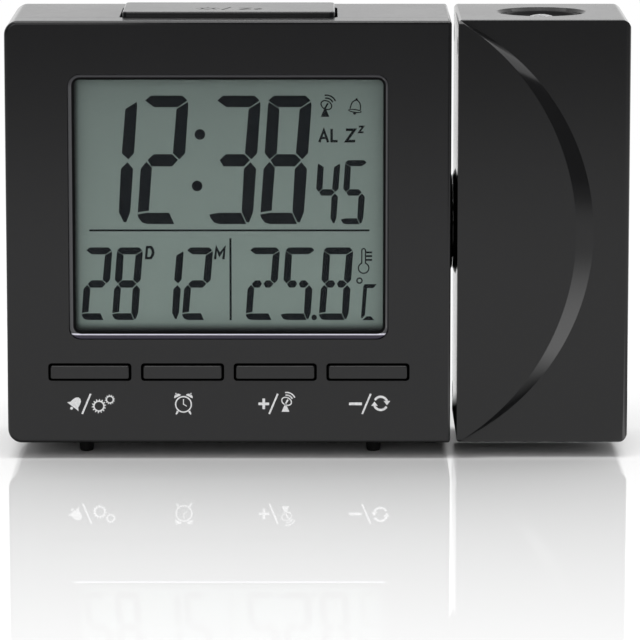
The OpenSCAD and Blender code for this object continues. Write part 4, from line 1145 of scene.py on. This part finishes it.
@dataclass
class Window:
    """Pane with its bevelled edge, and the display behind it."""

    radius: float = 2.6
    bevel: float = 0.8
    bevel_drop: float = 0.3
    foot_extra: float = 0.34
    slim_extra: float = 0.26
    # Width of the near-black band at the pane's inner edge, painted shade for its shadowed step.
    shade_ring_width: float = 0.55
    segment_level: float = 0.02
    # Heights above the pane's foot where the bevel's painted reflection band and painted highlight line end.
    reflection_band_top: float = 0.87
    highlight_line_top: float = 1.18

    def build(self) -> None:
        """Builds the pane, the display's finish and everything that it shows."""
        self.build_pane()
        # The third colour is the painted shade at the display's edges.
        dress_node("lcd_panel", DisplayGlass("lcd_face", srgb(124, 139, 133), srgb(110, 123, 118), srgb(18, 20, 22),
                                             *box_mm("lcd_panel")))
        self.build_digits()
        self.build_signs()

    def build_pane(self) -> None:
        """Builds the pane from its rim to its flat face."""
        low, high = box_mm("window_lens")
        outer = (low.x, high.x, low.z, high.z)
        inner = (low.x, high.x + self.slim_extra, low.z + self.foot_extra, high.z + self.slim_extra)
        # The last ring closes a near-black band at the pane's inner edge: painted shade for the shadowed step.
        levels = [(high.y, outer, 0.0), (low.y + self.bevel_drop, outer, 0.0), (low.y, inner, self.bevel),
                  (low.y, inner, self.bevel + self.shade_ring_width)]
        rings = [[Vector((u, y, v)) for u, v in rounded_outline(*sides, self.radius, inset)]
                 for y, sides, inset in levels]
        # The bevel's finish paints a highlight line and a violet reflection band on its lower side.
        edge = PaintedHighlightEdge("pane_edge", (0.056, 0.056, 0.06), (0.76, 0.75, 0.85), (0.022, 0.017, 0.036),
                            low.z + self.reflection_band_top, low.z + self.highlight_line_top)
        make_piece("window_pane", loft(rings, (0, 1, 2)), Part.CASE, [PANE_CLEAR, edge, BLACK_AND_PAINTED_SHADE],
                   ["window_lens"], crease=12.0)

    def marks(self) -> Stencil:
        """Starts marks on the face of the display, measured from the window's middle."""
        middle = sum(box_mm("window_lens"), Vector()) / 2
        return Stencil(Side.FRONT, box_mm("lcd_panel")[0].y - self.segment_level, (middle.x, middle.z))

    def build_digits(self) -> None:
        """Builds the time, the date and the temperature."""
        time = self.marks()
        Digits(9.35, 27.8, 2.4).draw(time, "1238", (-30.68, -19.72, -4.25, 6.68), -3.93)
        time.disc(-6.1, 15.5, 1.15)
        time.disc(-6.75, 4.35, 1.15)
        Digits(4.83, 13.91, 1.26).draw(time, "4", (18.27,), -3.98)
        Digits(4.78, 13.91, 1.26).draw(time, "5", (24.1,), -3.98)
        time.piece("time_digits", Part.CASE, SEGMENT_INK, "lcd_face")
        date = self.marks()
        Digits(5.6, 15.85, 1.46, slant=0.081).draw(date, "2812", (-31.9, -25.3, -16.5, -10.2), -24.87)
        date.piece("date_digits", Part.CASE, SEGMENT_INK, "lcd_face")
        heat = self.marks()
        Digits(6.4, 15.85, 1.42, split=True).draw(heat, "258", (3.55, 11.15, 19.35), -24.87)
        heat.disc(18.4, -24.3, 0.6)
        heat.ring(28.17, -16.26, 0.7, 0.4)
        heat.fill([(28.5, -24.3), (28.75, -24.5), (29.38, -23.75), (29.82, -17.88), (31.2, -17.88), (31.88, -17.03),
                   (29.3, -17.03), (29.0, -17.5)])
        heat.fill([(28.84, -24.9), (31.34, -24.9), (30.67, -24.07), (29.7, -24.07)])
        heat.piece("temperature_digits", Part.CASE, SEGMENT_INK, "lcd_face")

    def build_signs(self) -> None:
        """Builds the rules and the small signs."""
        signs = self.marks()
        signs.bar(-30.0, -5.52, 30.3, -5.1)
        signs.bar(0.14, -24.9, 0.6, -7.0)
        signs.frame(slanted(-18.1, -11.62, [(0, 0), (1.3, 0), (1.8, .7), (1.95, 1.35), (1.8, 2.1), (1.4, 2.67),
                                            (.25, 2.67)], 1.1),
                    slanted(-18.1, -11.62, [(.52, .5), (1.0, .5), (1.26, .9), (1.38, 1.35), (1.3, 1.75), (1.1, 2.17),
                                            (.66, 2.17)], 1.1))
        signs.line(slanted(-3.15, -11.6, [(0.2, 0), (.2, 2.5), (1.05, .95), (1.98, 2.5), (1.98, 0)], slant=0.12), 0.55)
        signs.line(slanted(19.5, 13.8, [(0, 0), (.98, 2.6), (1.9, 0)]), 0.54)
        signs.bar(20.0, 14.5, 20.95, 14.98)
        signs.line(slanted(22.15, 14.03, [(0, 2.66), (0, 0), (1.3, 0)]), 0.54)
        zed = [(0.0, 2.7), (1.9, 2.7), (0.12, 0.2), (2.05, 0.2)]
        signs.line(slanted(25.2, 13.85, zed, 0.98), 0.58)
        signs.line(slanted(27.98, 15.85, zed, 0.5), 0.4)
        self.thermometer(signs, 29.06, -13.52)
        draw_tower(signs, 20.75, 19.3, 2.2)
        draw_bell(signs, 27.3, 21.6, 3.5, -8, hollow=True)
        signs.piece("display_signs", Part.CASE, SEGMENT_INK, "lcd_face")

    @staticmethod
    def thermometer(signs: Stencil, u: float, v: float) -> None:
        """Adds a tube on a round bulb, as one outline about the bulb's middle, with three ticks."""
        signs.frame(*(arc(u, v, bulb, 90 + gap, 450 - gap, 24) + arc(u, v + 3.84, tube, 0, 180, 8)
                      for bulb, tube, gap in ((1.27, 0.53, 24.7), (1.0, 0.27, 15.6))))
        for rise in (1.78, 2.61, 3.42):
            signs.bar(u + 0.5, v + rise - 0.19, u + 1.83, v + rise + 0.19)


@dataclass
class OutsideMarks:
    """White signs below the front buttons, and the faint ones on the snooze bar."""

    slash_width: float = 0.39

    def build(self) -> None:
        """Builds both sets of signs."""
        low, high = box_mm("front_bezel")
        marks = Stencil(Side.FRONT, low.y - 0.02, ((low.x + high.x) / 2, low.z), thickness=0.04)
        draw_bell(marks, -33.1, 8.85, 3.4, -38)
        for u in (-30.8, 9.61, 29.7):
            marks.line([(u - 0.93, 6.4), (u + 0.93, 10.85)], self.slash_width)
        self.gear(marks, -28.1, 8.15, 1.58, 0.92, 14)
        self.gear(marks, -25.72, 9.58, 1.1, 0.6, 12)
        self.alarm_clock(marks, -9.83, 8.53)
        marks.bar(6.35, 8.35, 8.67, 8.93)
        marks.bar(7.22, 8.94, 7.8, 9.8)
        marks.bar(7.22, 7.48, 7.8, 8.34)
        draw_tower(marks, 12.2, 6.9, 2.0)
        marks.bar(25.92, 8.34, 28.72, 8.94)
        self.round_arrows(marks, 32.77, 8.74, 1.45)
        marks.piece("front_signs", Part.CASE, MARK_WHITE, "case_black")
        self.build_bar_marks()

    @staticmethod
    def gear(marks: Stencil, u: float, v: float, outer: float, hole: float, teeth: int) -> None:
        """Adds a toothed wheel with a hole."""
        corners = 5 * teeth
        tips, roots = (ellipse(u, v, radius, radius, corners) for radius in (outer, 0.77 * outer))
        rim = [tips[i] if i % 5 in (1, 2) else roots[i] for i in range(corners)]
        marks.frame(rim, ellipse(u, v, hole, hole, corners))

    @staticmethod
    def alarm_clock(marks: Stencil, u: float, v: float) -> None:
        """Adds a clock with two bells, two feet and two hands."""
        marks.ring(u, v, 1.84, 1.55)
        dome = ellipse(0, 0, 0.78, 0.62, 24)[:13]
        for side in (-1, 1):
            marks.fill(turned(u + side * 1.24, v + 1.68, dome, -side * 26))
            marks.line([(u + side * 1.5, v + 2.1), (u + side * 1.68, v + 2.5)], 0.22)
            marks.fill([(u + side * 1.0, v - 1.62), (u + side * 1.42, v - 1.36), (u + side * 1.72, v - 2.08),
                        (u + side * 1.5, v - 2.3)][::-side])
        marks.line([(u, v + 1.15), (u, v), (u + 0.72, v - 0.42)], 0.2)

    @staticmethod
    def round_arrows(marks: Stencil, u: float, v: float, radius: float) -> None:
        """Adds two arrows that chase each other round a circle."""
        for start, way in ((22, -1), (202, 1)):
            sweep = arc(u, v, radius, start, start + 128, 14)
            marks.line(sweep, 0.5)
            tip_u, tip_v = sweep[0]
            marks.fill([(tip_u - 0.72, tip_v), (tip_u + 0.72, tip_v), (tip_u, tip_v + way * 0.95)])

    @staticmethod
    def build_bar_marks() -> None:
        """Builds the lamp, the slash and the two letters on the snooze bar."""
        low, high = box_mm("snooze_bar")
        marks = Stencil(Side.TOP, high.z, ((low.x + high.x) / 2, low.y + 6.6))
        lamp = (-4.6, 0.3)
        marks.ring(*lamp, 1.5, 1.1)
        for inner, outer in zip(ellipse(*lamp, 1.95, 1.95, 8), ellipse(*lamp, 2.6, 2.6, 8)):
            marks.line([inner, outer], 0.4)
        marks.line([(-1.5, -2.3), (0.3, 2.9)], 0.4)
        zed = [(0.0, 3.4), (2.4, 3.4), (0.2, 0.25), (2.6, 0.25)]
        marks.line(slanted(2.2, -1.9, zed), 0.5)
        marks.line(slanted(5.4, -1.9, zed, 0.66), 0.36)
        marks.piece("bar_signs", Part.BAR, MARK_FAINT, "button_black")


@dataclass
class Keys:
    """The four front buttons and the snooze bar."""

    key_fillet: float = 0.28
    bar_fillet: float = 0.38
    bar_travel: float = 0.9
    gap_tilt: float = 0.75
    gap_rise: float = 0.3
    gap_depth: float = 0.3
    crease: float = 35.0

    def build(self) -> None:
        """Builds and dresses every key."""
        for part in (Part.ALARM_SET_KEY, Part.ALARM_KEY, Part.PLUS_KEY, Part.MINUS_KEY):
            face = box_mm(part.value)[0].y
            # The keys' side walls and deep faces get the near-black matt finish: painted shade in the gaps round them.
            smooth_copy(part.value, part, KEY_BLACK,
                        [Rounding(on_plane("y", face), self.key_fillet)],
                        lambda spot, way: (abs(way.y) < self.gap_tilt and way.z < self.gap_rise
                                           or spot.y > face + self.gap_depth), self.crease)
        smooth_copy("snooze_bar", Part.BAR, BAR_BLACK,
                    [Rounding(on_plane("z", box_mm("snooze_bar")[1].z), self.bar_fillet, 4)], crease=self.crease)
        self.build_springs()

    def build_springs(self) -> None:
        """Builds the snooze bar's return springs, with a mesh of their own."""
        springs = smooth_copy("snooze_springs", Part.CASE, STEEL)
        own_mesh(springs)


@dataclass
class Base:
    """Rubber feet and what is screwed or plugged into the back."""

    foot_fillet: float = 0.3
    screw_head_r: float = 2.7
    screw_head_h: float = 1.8
    shank_r: float = 1.3

    def build(self) -> None:
        """Builds the feet, the supply socket and the case's screws."""
        smooth_copy("rubber_feet", Part.CASE, FOOT_RUBBER,
                    [Rounding(lambda co: co.z < 0.05, self.foot_fillet)])
        smooth_copy("dc_jack", Part.CASE, CHIP_BLACK)
        low, high = box_mm("case_screws")
        middle = (low + high) / 2
        grown = grow(grid_tree(), {
            "Width": high.x - low.x - 2 * self.screw_head_r, "Height": high.z - low.z - 2 * self.screw_head_r,
            "Middle": (middle.x, high.y, middle.z)}, {"Across": 2, "Up": 2}, SCREW_STEEL, self.screw(high.y - low.y))
        make_piece("case_screws_body", join_meshes([grown]), Part.CASE, [SCREW_STEEL], ["case_screws"])

    def screw(self, length: float) -> Shape:
        """Returns one pan-head screw that faces the back, with a cross recess and the top of its head at the origin."""
        head_r, head_h, shank_r = self.screw_head_r, self.screw_head_h, self.shank_r
        body = revolve([(0.05, -length), (shank_r * 0.5, -length + 0.3), (shank_r, -length + 1.2),
                        (shank_r, -head_h), (head_r - 0.12, -head_h), (head_r, -head_h + 0.12),
                        (head_r, -head_h * 0.55), (head_r * 0.93, -head_h * 0.28), (head_r * 0.78, -0.12),
                        (head_r * 0.6, 0.0)], (0, 2, 1), 32)
        half, arm, taper = head_r * 0.56, head_r * 0.12, 0.7
        for wide, tall in ((half, arm), (arm, half)):
            corners = [(-wide, -tall), (wide, -tall), (wide, tall), (-wide, tall)]
            body = cut(body, loft([[Vector((x, 0.6, z)) for x, z in corners],
                                   [Vector((x * taper, -head_h * 0.6, z * taper)) for x, z in corners]]))
        return body


@dataclass
class BatteryBay:
    """Cells, their contacts, and the lift-off cover."""

    cover_fillet: float = 0.22
    bare_end: float = 1.2
    band_width: float = 14.0
    spring_r: float = 3.6
    spring_wire: float = 0.4
    turns: float = 5.0
    ridge_length: float = 12.0
    ridge_r: float = 0.3
    ridge_pitch: float = 1.6
    ridge_count: int = 4
    ridge_drop: float = 6.25

    def build(self) -> None:
        """Builds the cover, the cells and their springs."""
        low, high = box_mm("battery_cover")
        rim = [on_plane(axis, getattr(corner, axis)) for axis in "xz" for corner in (low, high)]
        smooth_copy("battery_cover", Part.COVER, COVER_BLACK, [
            Rounding(lambda co: abs(co.y - high.y) < NEAR and any(test(co) for test in rim), self.cover_fillet)])
        self.build_ridges(low, high)
        cells_low, cells_high = box_mm("battery_cells")
        middle = (cells_low.x + cells_high.x) / 2
        half = (cells_high.x - cells_low.x) / 2
        sleeve = CellSleeve("cell_sleeve", srgb(150, 122, 70), srgb(40, 40, 42), middle,
                            half - self.bare_end, half - self.band_width)
        smooth_copy("battery_cells", Part.CASE, sleeve, [Rounding(lambda co: True, 0.3, 2, 60.0)])
        self.build_springs()
        dress_node("battery_plates", CONTACT_STEEL)

    def build_ridges(self, low: Vector, high: Vector) -> None:
        """Builds the raised grip lines between the cover's grooves."""
        half, radius = self.ridge_length / 2, self.ridge_r
        seed = revolve([(radius * 0.4, -half), (radius, -half + 0.35), (radius, half - 0.35), (radius * 0.4, half)],
                       (2, 1, 0), 16)
        rise = (self.ridge_count - 1) * self.ridge_pitch
        grown = grow(grid_tree(), {
            "Width": 0.0, "Height": rise,
            "Middle": ((low.x + high.x) / 2, high.y - radius - 0.02, high.z - self.ridge_drop - rise / 2)},
            {"Across": 1, "Up": self.ridge_count}, COVER_BLACK, seed)
        make_piece("cover_ridges", join_meshes([grown]), Part.COVER, [COVER_BLACK])

    def build_springs(self) -> None:
        """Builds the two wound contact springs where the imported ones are."""
        verts = [vert.co / MM for vert in NODES["battery_springs"].data.vertices]
        middle_z = sum(co.z for co in verts) / len(verts)
        meshes = []
        for upper in (False, True):
            own = [co for co in verts if (co.z > middle_z) == upper]
            low, high = (Vector(pick(co[i] for co in own) for i in range(3)) for pick in (min, max))
            meshes.append(wound(low, high, self.spring_r - self.spring_wire, self.spring_wire, self.turns, 8,
                                CONTACT_STEEL))
        make_piece("contact_springs", join_meshes(meshes), Part.CASE, [CONTACT_STEEL], ["battery_springs"])


def wound(low: Vector, high: Vector, radius: float, wire: float, turns: float, sides: int,
          finish: Finish) -> bpy.types.Mesh:
    """Winds a wire along the X axis through the middle of a box.

    Args:
        low, high: the corners of the box, whose length the coil fills.
        radius: the coil's radius, to the middle of the wire.
        wire: the wire's radius.
        turns: the number of turns.
        sides: the number of the wire's sides.
        finish: its finish.
    Returns:
        The mesh, in metres.
    """
    return grow(coil_tree(), {
        "Radius": radius, "Wire Radius": wire, "Length": high.x - low.x - 2 * wire,
        "Start": (low.x + wire, (low.y + high.y) / 2, (low.z + high.z) / 2)}, {"Turns": turns, "Sides": sides}, finish)


@dataclass
class Antenna:
    """Ferrite rod with its wound coil."""

    wire: float = 0.22
    layers: int = 3

    def build(self) -> None:
        """Builds the winding and dresses the rod."""
        low, high = box_mm("antenna_coil")
        radius = (high.z - low.z) / 2
        turns = (high.x - low.x - 2 * self.wire) / (2 * self.wire)
        meshes = [wound(low, high, radius - self.wire - layer * 2 * self.wire, self.wire, turns, 6, COPPER)
                  for layer in range(self.layers)]
        make_piece("antenna_winding", join_meshes(meshes), Part.CASE, [COPPER], ["antenna_coil"])
        smooth_copy("antenna_rod", Part.CASE, FERRITE)


@dataclass
class Head:
    """Shell, side cover and optics of the projector head."""

    ridge_fillet: float = 0.3
    edge_fillet: float = 0.35
    ring_fillet: float = 0.12
    rim_depth: float = 0.4
    corner_y: float = 15.0
    crease: float = 15.0
    rib_count: int = 48
    rib_circle: float = 8.0
    rib_half: float = 0.6
    rib_r: float = 0.14
    rib_drop: float = 0.12
    crown: float = 0.8

    def build(self) -> None:
        """Builds the shell, the cover and the optics."""
        low, high = box_mm("head_shell")
        rim_low = high.z - self.rim_depth
        smooth_copy("head_shell", Part.HEAD, HEAD_BLACK, [
            Rounding(on_plane("y", low.y), self.ridge_fillet, 3, 12.0),
            Rounding(lambda co: co.z > rim_low and abs(co.y) > self.corner_y, self.edge_fillet)], crease=self.crease)
        smooth_copy("head_side_cover", Part.HEAD, HEAD_BLACK, crease=self.crease)
        smooth_copy("optic_tube", Part.HEAD, BLACK_AND_PAINTED_SHADE)
        self.build_focus()

    def build_focus(self) -> None:
        """Builds the focus ring with its grip ribs, the lens cell and the lens."""
        low, high = box_mm("focus_ring")
        smooth_copy("focus_ring", Part.RING, OPTIC_BLACK,
                    [Rounding(on_plane("z", high.z), self.ring_fillet, 2)])
        middle = (low + high) / 2
        half, radius, tip = self.rib_half, self.rib_r, 0.08
        seed = revolve([(0.05, -half), (radius, -half + tip), (radius, half - tip), (0.05, half)], (2, 0, 1), 8)
        grown = grow(spoke_tree(), {"Radius": self.rib_circle, "Middle": (middle.x, middle.y, high.z - self.rib_drop)},
                     {"Count": self.rib_count}, OPTIC_BLACK, seed)
        make_piece("focus_ribs", join_meshes([grown]), Part.RING, [OPTIC_BLACK])
        smooth_copy("lens_cell", Part.LENS, OPTIC_BLACK)
        self.build_lens()
        smooth_copy("condenser_lens", Part.HEAD, LENS_GLASS)

    def build_lens(self) -> None:
        """Builds the front lens with a fuller crown."""
        bm = copy_of("projection_lens")
        low, high = box_mm("projection_lens")
        middle, radius = (low + high) / 2, (high.x - low.x) / 2
        for vert in bm.verts:
            if vert.co.z > middle.z:
                reach = math.hypot(vert.co.x - middle.x, vert.co.y - middle.y) / radius
                vert.co.z += self.crown * max(0.0, 1 - reach * reach)
        make_piece("projection_lens_body", bm, Part.LENS, [LENS_GLASS], ["projection_lens"])


# ---------------------------------------------------------------- studio

@dataclass
class Studio:
    """Pale floor, soft light and the camera. Its sizes are in metres."""

    floor_size: float = 9.0
    clock_half: Point = (0.067, 0.019)
    mirror_reach: float = 0.29
    mirror_share: float = 0.4
    even_light: float = 0.62
    floor_grey: float = 0.89
    floor_polish: float = 0.004
    # Where the painted patch of light lies that reflections see on the floor, and how bright it is.
    painted_patch_across: Spans = ((0.02, 0.034), (0.08, 0.06))
    painted_patch_along: Spans = ((0.062, 0.084), (0.22, 0.09))
    painted_patch_power: float = 2.1
    softbox_right: Spans = ((0.6, 0.66),)
    softbox_deep: Spans = ((0.3, 0.2),)
    softbox_up: Spans = ((0.5, 0.53), (0.74, 0.7))
    softbox_power: float = 1.7
    camera_place: Triple = (0.00046, -1.019, 0.198)
    camera_aim: Triple = (0.00046, -0.019, 0.0305)
    lens: float = 264.8

    def build(self) -> None:
        """Builds the floor, the world, the lamps and the camera."""
        scene = bpy.context.scene
        scene.view_settings.view_transform = "Standard"
        self.build_floor()
        self.build_world()
        self.lamp("overhead", (0.1, 0.15, 1.5), (0.0, 0.0, 0.0), (1.9, 1.9), 12.5)
        self.lamp("strip", (0.0, -0.27, 1.1), (0.0, 0.0, 0.05), (0.9, 0.3), 3.4)
        self.lamp("front_fill", (-0.5, -1.8, 0.9), (0.0, 0.0, 0.05), (1.2, 1.2), 7.0)
        camera = bpy.data.cameras.new("camera")
        camera.lens, camera.sensor_width, camera.clip_end = self.lens, 36.0, 50.0
        scene.camera = self.aimed("camera", camera, self.camera_place, self.camera_aim)

    @staticmethod
    def aimed(name: str, data: bpy.types.ID, place: Triple, aim: Triple) -> bpy.types.Object:
        """Sets a lamp or a camera in its place, looking at a point."""
        made = bpy.data.objects.new(name, data)
        bpy.context.scene.collection.objects.link(made)
        made.location = place
        made.rotation_euler = (Vector(aim) - Vector(place)).to_track_quat("-Z", "Y").to_euler()
        return made

    def lamp(self, name: str, place: Triple, aim: Triple, size: Point, power: float) -> None:
        """Adds a soft oblong lamp that looks at a point."""
        data = bpy.data.lights.new(name, "AREA")
        data.shape, data.energy = "RECTANGLE", power
        data.size, data.size_y = size
        self.aimed(name, data, place, aim)

    def build_floor(self) -> None:
        """Builds the pale, slightly glossy floor."""
        half = self.floor_size
        mesh = bpy.data.meshes.new("floor")
        mesh.from_pydata([(-half, -half, 0), (half, -half, 0), (half, half, 0), (-half, half, 0)], [], [(0, 1, 2, 3)])
        floor = bpy.data.objects.new("floor", mesh)
        bpy.context.scene.collection.objects.link(floor)
        mesh.materials.append(self.floor_finish())

    def floor_finish(self) -> bpy.types.Material:
        """Builds the floor's finish: a mirror that fades away from the clock, over matt white, with the mirror cut back
        under the clock as painted shade.

        Returns:
            The material; what shines sees painted light in place of the lit floor: a glow round the clock, a brighter
            painted patch to its front right and painted shadow under the clock, while the camera sees white far off.
        """
        top = Surface("floor_white")
        right, deep = top.parts(top.place)[:2]
        away = top.maths("MAXIMUM", *(top.minus(top.maths("ABSOLUTE", part), half)
                                      for part, half in zip((right, deep), self.clock_half)))
        # Under the clock the mirror is cut to less than a third, which darkens the floor there: painted shade on top of
        # the real shadow.
        mirror = top.times(top.ramp(away, 0.0, self.mirror_reach, self.mirror_share, 0.0, "LINEAR"),
                           top.ramp(away, -0.006, 0.004, 0.3, 1.0))
        # Painted light for reflections: the floor glows round the clock and in a brighter painted patch to its front
        # right, with painted shadow under the clock and close behind it.
        clear_of_painted_shadow = top.times(top.ramp(away, -0.004, 0.012), top.ramp(deep, 0.02, 0.0))
        middle = top.times(top.ramp(away, 0.9, 0.25, 0.25, 0.88), clear_of_painted_shadow)
        diagonal = top.plus(right, deep)
        painted_light_patch = top.times(top.zone(diagonal, self.painted_patch_across), top.zone(right, self.painted_patch_along), self.painted_patch_power)
        behind = top.ramp(deep, 0.042, 0.065)
        matt = top.node("ShaderNodeBsdfDiffuse", {"Color": (self.floor_grey,) * 3})
        gloss = top.node("ShaderNodeBsdfAnisotropic", {"Color": WHITE, "Roughness": self.floor_polish})
        painted_glow = top.node("ShaderNodeEmission", {
            "Color": WHITE, "Strength": top.maths("MAXIMUM", top.plus(painted_light_patch, middle), behind)})
        white = top.node("ShaderNodeEmission", {"Color": WHITE, "Strength": 1.0})
        rays = top.node("ShaderNodeLightPath").outputs
        far = top.times(rays["Is Camera Ray"], top.ramp(away, 0.2, 0.5))
        seen = self.mixed(top, mirror, matt, gloss)
        whole = self.mixed(top, rays["Is Glossy Ray"], self.mixed(top, far, seen, white), painted_glow)
        top.feed(top.end.inputs["Surface"], whole.outputs[0])
        top.tree.nodes.remove(top.shader)
        return top.material

    @staticmethod
    def mixed(graph: Graph, share: object, first: bpy.types.Node, second: bpy.types.Node) -> bpy.types.Node:
        """Adds a mix of two shaders."""
        return graph.node("ShaderNodeMixShader", {0: share, 1: first.outputs[0], 2: second.outputs[0]})

    def build_world(self) -> None:
        """Builds an even world for the light, and a white one with a dim front for what shines and is seen."""
        world = bpy.data.worlds.new("studio")
        bpy.context.scene.world = world
        world.use_nodes = True
        graph = Graph(world.node_tree)
        graph.tree.nodes.clear()
        right, deep, up = graph.parts(graph.node("ShaderNodeTexCoord").outputs["Generated"])
        behind = graph.ramp(deep, -0.35, 0.45, 0.1, 1.0)
        sides = graph.times(graph.zone(right, self.softbox_right), graph.zone(deep, self.softbox_deep))
        softbox = graph.times(sides, graph.zone(up, self.softbox_up))
        strength = graph.plus(behind, graph.times(softbox, self.softbox_power))
        seen = graph.node("ShaderNodeBackground", {"Color": WHITE, "Strength": strength})
        even = graph.node("ShaderNodeBackground", {"Color": WHITE, "Strength": self.even_light})
        rays = graph.node("ShaderNodeLightPath").outputs
        seen_by = graph.maths("MAXIMUM", rays["Is Camera Ray"],
                              graph.maths("MAXIMUM", rays["Is Glossy Ray"], rays["Is Transmission Ray"]))
        graph.node("ShaderNodeOutputWorld", {"Surface": self.mixed(graph, seen_by, even, seen).outputs[0]})


def main() -> None:
    """Builds the clock, piece by piece, and its studio."""
    logging.basicConfig(level=logging.INFO, format="%(name)s %(message)s")
    for group in (Studio(), CaseShells(), Window(), OutsideMarks(), Keys(), Base(), BatteryBay(), Antenna(), Head()):
        LOG.info("building %s", type(group).__name__)
        group.build()
    for finish, nodes in INSIDE_FINISHES:
        for node in nodes.split():
            dress_node(node, finish)


if __name__ == "__main__":
    main()
